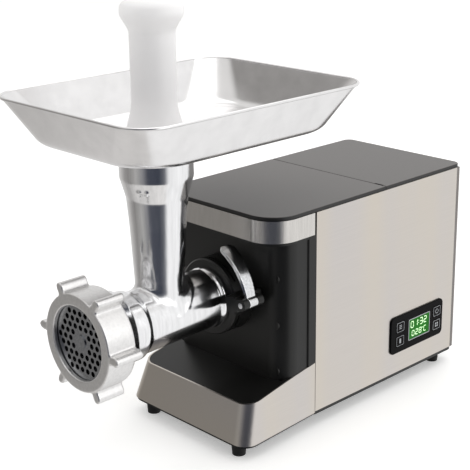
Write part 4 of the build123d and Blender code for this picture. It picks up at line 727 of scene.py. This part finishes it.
def build_tray():
    """Pressed sheet tray: leaning walls, bent floor edge, spout and a rolled rim."""
    front, rear, half = -162.6, 94.4, 99.7
    sheet, floor_z, rim_z, bead = 1.2, 279.05, 319.5, 1.3
    rim_inset, rim_drop, rim_corner, corner_gain = 1.7, 2.0, 28.4, 11.6
    wall_foot, bend_inset, floor_edge, bend_rise = 16.0, 19.2, 27.0, 7.0
    floor_corner, wall_steps, spout_steps, bead_steps = 40.0, 8, 5, 12

    def level(inset, z, radius):
        return rounded_rectangle(half - inset, front + inset, rear - inset, radius, z)

    rows = [level(rim_inset, rim_z - rim_drop, rim_corner)]
    for k in range(1, wall_steps + 1):
        t = k / wall_steps
        inset = rim_inset + (wall_foot - rim_inset) * t
        height = rim_z - rim_drop - (rim_z - rim_drop - floor_z - bend_rise) * t
        rows.append(level(inset, height, rim_corner + corner_gain * t))
    for k in range(1, wall_steps + 1):
        t = k / wall_steps
        inset = (1 - t) ** 2 * wall_foot + 2 * t * (1 - t) * bend_inset + t * t * floor_edge
        height = (1 - t) ** 2 * bend_rise
        rows.append(level(inset, floor_z + height, floor_corner))
    edge = rows[-1]
    ring = []
    for x, y, z in edge:
        angle = atan2(y - NECK_Y, x)
        ring.append((cos(angle), sin(angle)))
    spout_r, flare, spout_deep = 27.2, 3.0, 16.0
    lip_r = spout_r + flare
    for k in range(1, spout_steps + 1):
        t = k / spout_steps
        rows.append([(x + (lip_r * c - x) * t, y + (NECK_Y + lip_r * s - y) * t, floor_z)
                     for (x, y, z), (c, s) in zip(edge, ring)])
    for k in range(1, spout_steps + 1):
        turn = radians(90 * k / spout_steps)
        radius = spout_r + flare * (1 - sin(turn))
        rows.append([(radius * c, NECK_Y + radius * s, floor_z - flare * (1 - cos(turn))) for c, s in ring])
    rows.append([(spout_r * c, NECK_Y + spout_r * s, floor_z - spout_deep) for c, s in ring])
    sheet_mesh = tidy_normals(loops_mesh("tray_sheet", [[place(*p) for p in row] for row in rows]))
    sheet_mesh = modified("tray_wall", sheet_mesh, ("SOLIDIFY", {"thickness": sheet * MM, "offset": -1.0,
                                                                "use_even_offset": True}))
    centre = level(bead, rim_z - bead, 30.0 - bead)
    loops = []
    count = len(centre)
    up = Vector((0, 0, 1))
    for k in range(count + 1):
        before, here, after = (Vector(centre[(k + d) % count]) for d in (-1, 0, 1))
        along = (after - before).normalized()
        out = along.cross(up).normalized()
        turns = [2 * pi * j / bead_steps for j in range(bead_steps)]
        loops.append([place(*(here + (out * cos(turn) + up * sin(turn)) * bead)) for turn in turns])
    rim = tidy_normals(loops_mesh("rolled_rim", loops))
    piece_from("pressed_tray", joined("pressed_tray", sheet_mesh, rim), "tray", ("hopper_tray",),
               "tray_aluminium", crease=40)


def build_lever():
    """Curved locking lever with a rounded tip and its pivot knuckle."""
    radius, thick, steps = 55.3, 3.6, 30
    pin, pin_gap, tip = 10.3, 1.5, 69.0
    front, root_back, widening = -15.0, -5.0, 4.8
    tip_share, tip_drop, tip_thinning = 0.1, 3.0, 0.35
    hole_r, knuckle_r = 2.55, 5.0
    rows = []
    for k in range(steps + 1):
        t = k / steps
        angle = radians(pin + pin_gap + (tip - pin - pin_gap) * t)
        back = root_back + widening * min(1.0, t * 1.15)
        ease = max(0.0, (t - (1.0 - tip_share)) / tip_share)
        drop = tip_drop * ease * ease
        y0, y1 = front + drop, back - drop
        lean = thick / 2 * (1.0 - tip_thinning * ease)
        row = []
        for side, deep in ((y0, -1), (y1, -1), (y1, 1), (y0, 1)):
            reach = radius + deep * lean
            row.append(place(reach * cos(angle), side, AXIS_Z + reach * sin(angle)))
        rows.append(row)
    strap = tidy_normals(loops_mesh("lever_strap", rows, cap=True))
    px, pz = radius * cos(radians(pin)), AXIS_Z + radius * sin(radians(pin))
    wall = [(hole_r, front), (knuckle_r, front), (knuckle_r, root_back), (hole_r, root_back)]
    knuckle = turned("lever_knuckle", wall, (px, pz), steps=48)
    mesh = cast("lever_strap", joined("lever_parts", strap, knuckle), voxel=0.4, passes=5)
    piece_from("lever_strap", mesh, "lever", ("lock_lever",), "lever_steel", crease=70)


# ---------------------------------------------------------------- control panel

FACE_X = 72.5
BEZEL_FACE = FACE_X + 1.6


def flat_tile(name, loop_out, height, loop_in=None):
    """A thin raised tile, or a frame when an inner loop is given, standing off along +X."""
    lift = Vector((height * MM, 0, 0))
    if loop_in is None:
        return tidy_normals(loops_mesh(name, [loop_out, [p + lift for p in loop_out]], cap=True))
    rows = [loop_out, [p + lift for p in loop_out], [p + lift for p in loop_in], loop_in, loop_out]
    return tidy_normals(loops_mesh(name, rows))


def seven_segments(y, z, wide, tall, stroke, lit, x, lift):
    """One digit built from hexagonal bars; lit names the bars a to g."""
    gap = stroke * 0.18
    mid = z + tall / 2
    bars = {"a": (y, z + tall, y + wide, z + tall), "g": (y, mid, y + wide, mid), "d": (y, z, y + wide, z),
            "f": (y, mid, y, z + tall), "b": (y + wide, mid, y + wide, z + tall),
            "e": (y, z, y, mid), "c": (y + wide, z, y + wide, mid)}
    made = []
    for key in lit:
        y0, z0, y1, z1 = bars[key]
        span = hypot(y1 - y0, z1 - z0)
        uy, uz = (y1 - y0) / span, (z1 - z0) / span
        half = stroke / 2
        loop = []
        for along, across in ((gap, 0), (gap + half, -half), (span - gap - half, -half), (span - gap, 0),
                              (span - gap - half, half), (gap + half, half)):
            loop.append(place(x, y0 + uy * along - uz * across, z0 + uz * along + uy * across))
        made.append(flat_tile("bar", loop, lift))
    return made


DIGITS = {"0": "abcdef", "1": "bc", "2": "abged", "3": "abgcd", "8": "abcdefg", "C": "adef"}
TIME_Z, HEAT_Z = 57.2, 48.2
KEY_WIDE, KEY_TALL = 12.5, 11.0
# The display's middle: keys on its front side have the lower y, and the upper keys lie above KEY_MIDDLE_Z.
DISPLAY_MIDDLE_Y, KEY_MIDDLE_Z = 200, 56


def build_display():
    """Time above, temperature below, and a thin pale frame round the window."""
    x, lift = BEZEL_FACE - 0.2, 0.08
    made = []
    for y, digit in ((191.0, "0"), (197.2, "1"), (205.4, "3"), (211.6, "2")):
        made += seven_segments(y, TIME_Z, 3.9, 6.3, 0.85, DIGITS[digit], x, lift)
    for z in (59.2, 61.6):
        made.append(flat_tile("dot", side_loop(202.6, 203.5, z, z + 0.9, 0.3, x, 3), lift))
    for y, digit in ((193.0, "0"), (198.6, "2"), (204.2, "8"), (211.6, "C")):
        made += seven_segments(y, HEAT_Z, 3.5, 5.3, 0.75, DIGITS[digit], x, lift)
    made.append(flat_tile("degree", side_loop(208.6, 209.8, 52.3, 53.5, 0.5, x, 3), lift))
    piece_from("display_segments", joined("display_segments", *made), "housing", (), "display_green",
               finish=segments)
    frame_mesh = flat_tile("window_frame", side_loop(187.2, 220.8, 44.7, 66.8, 1.4, BEZEL_FACE - 0.02), 0.12,
                           side_loop(188.0, 220.0, 45.5, 66.0, 0.8, BEZEL_FACE - 0.02))
    piece_from("window_frame", frame_mesh, "housing", (), "key_black", finish=printed_grey)


def key_marks(index, y, z):
    """A thin printed outline on a key, and its plain symbol."""
    x, lift = BEZEL_FACE + 0.3, 0.06
    margin, ink = 0.7, 0.35
    half_w, half_h = KEY_WIDE / 2 - margin, KEY_TALL / 2 - margin
    outer = side_loop(y - half_w, y + half_w, z - half_h, z + half_h, 1.2, x)
    inner = side_loop(y - half_w + ink, y + half_w - ink, z - half_h + ink, z + half_h - ink, 0.9, x)
    made = [flat_tile("outline", outer, lift, inner)]
    if index == 1:
        for reach in (-1.6, 0.0, 1.6):
            rung = side_loop(y - 2.0, y + 2.0, z + reach - 0.3, z + reach + 0.3, 0.2, x)
            made.append(flat_tile("rung", rung, lift))
    elif index == 2:
        made.append(flat_tile("block", side_loop(y - 1.2, y + 1.2, z - 2.4, z + 2.4, 0.4, x), lift))
    elif index == 3:
        made.append(flat_tile("stem", side_loop(y - 0.3, y + 0.3, z + 0.6, z + 2.9, 0.2, x), lift))
        outer_r, inner_r, steps = 2.5, 1.95, 24
        ring_out, ring_in = [], []
        for k in range(steps + 1):
            turn = radians(125 + 290 * k / steps)
            ring_out.append(place(x, y + outer_r * cos(turn), z + outer_r * sin(turn)))
            ring_in.append(place(x, y + inner_r * cos(turn), z + inner_r * sin(turn)))
        made.append(flat_tile("arc", ring_out + ring_in[::-1], lift))
    else:
        for side in (-1.3, 1.3):
            for rise in (-1.3, 1.3):
                cell = side_loop(y + side - 0.9, y + side + 0.9, z + rise - 0.9, z + rise + 0.9, 0.2, x)
                made.append(flat_tile("cell", cell, lift))
    return joined(f"key_marks_{index}", *made)


def build_key_marks():
    """The marks ride on their own keys; the keys are told apart by where the frame puts them."""
    for index in range(1, 5):
        low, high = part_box(f"key_{index}")
        y = (low.y + high.y) / 2 / MM + Y_SHIFT
        z = (low.z + high.z) / 2 / MM
        column = 0 if y < DISPLAY_MIDDLE_Y else 2
        mark = column + (1 if z > KEY_MIDDLE_Z else 2)
        mesh = key_marks(mark, y, z)
        mesh.name = f"key_marks_{index}"
        piece_from(f"key_marks_{index}", mesh, f"key_{index}", (), "key_black", finish=printed_grey)


build_barrel()
build_ring_nut()
build_pusher()
build_tray()
build_lever()
build_display()
build_key_marks()
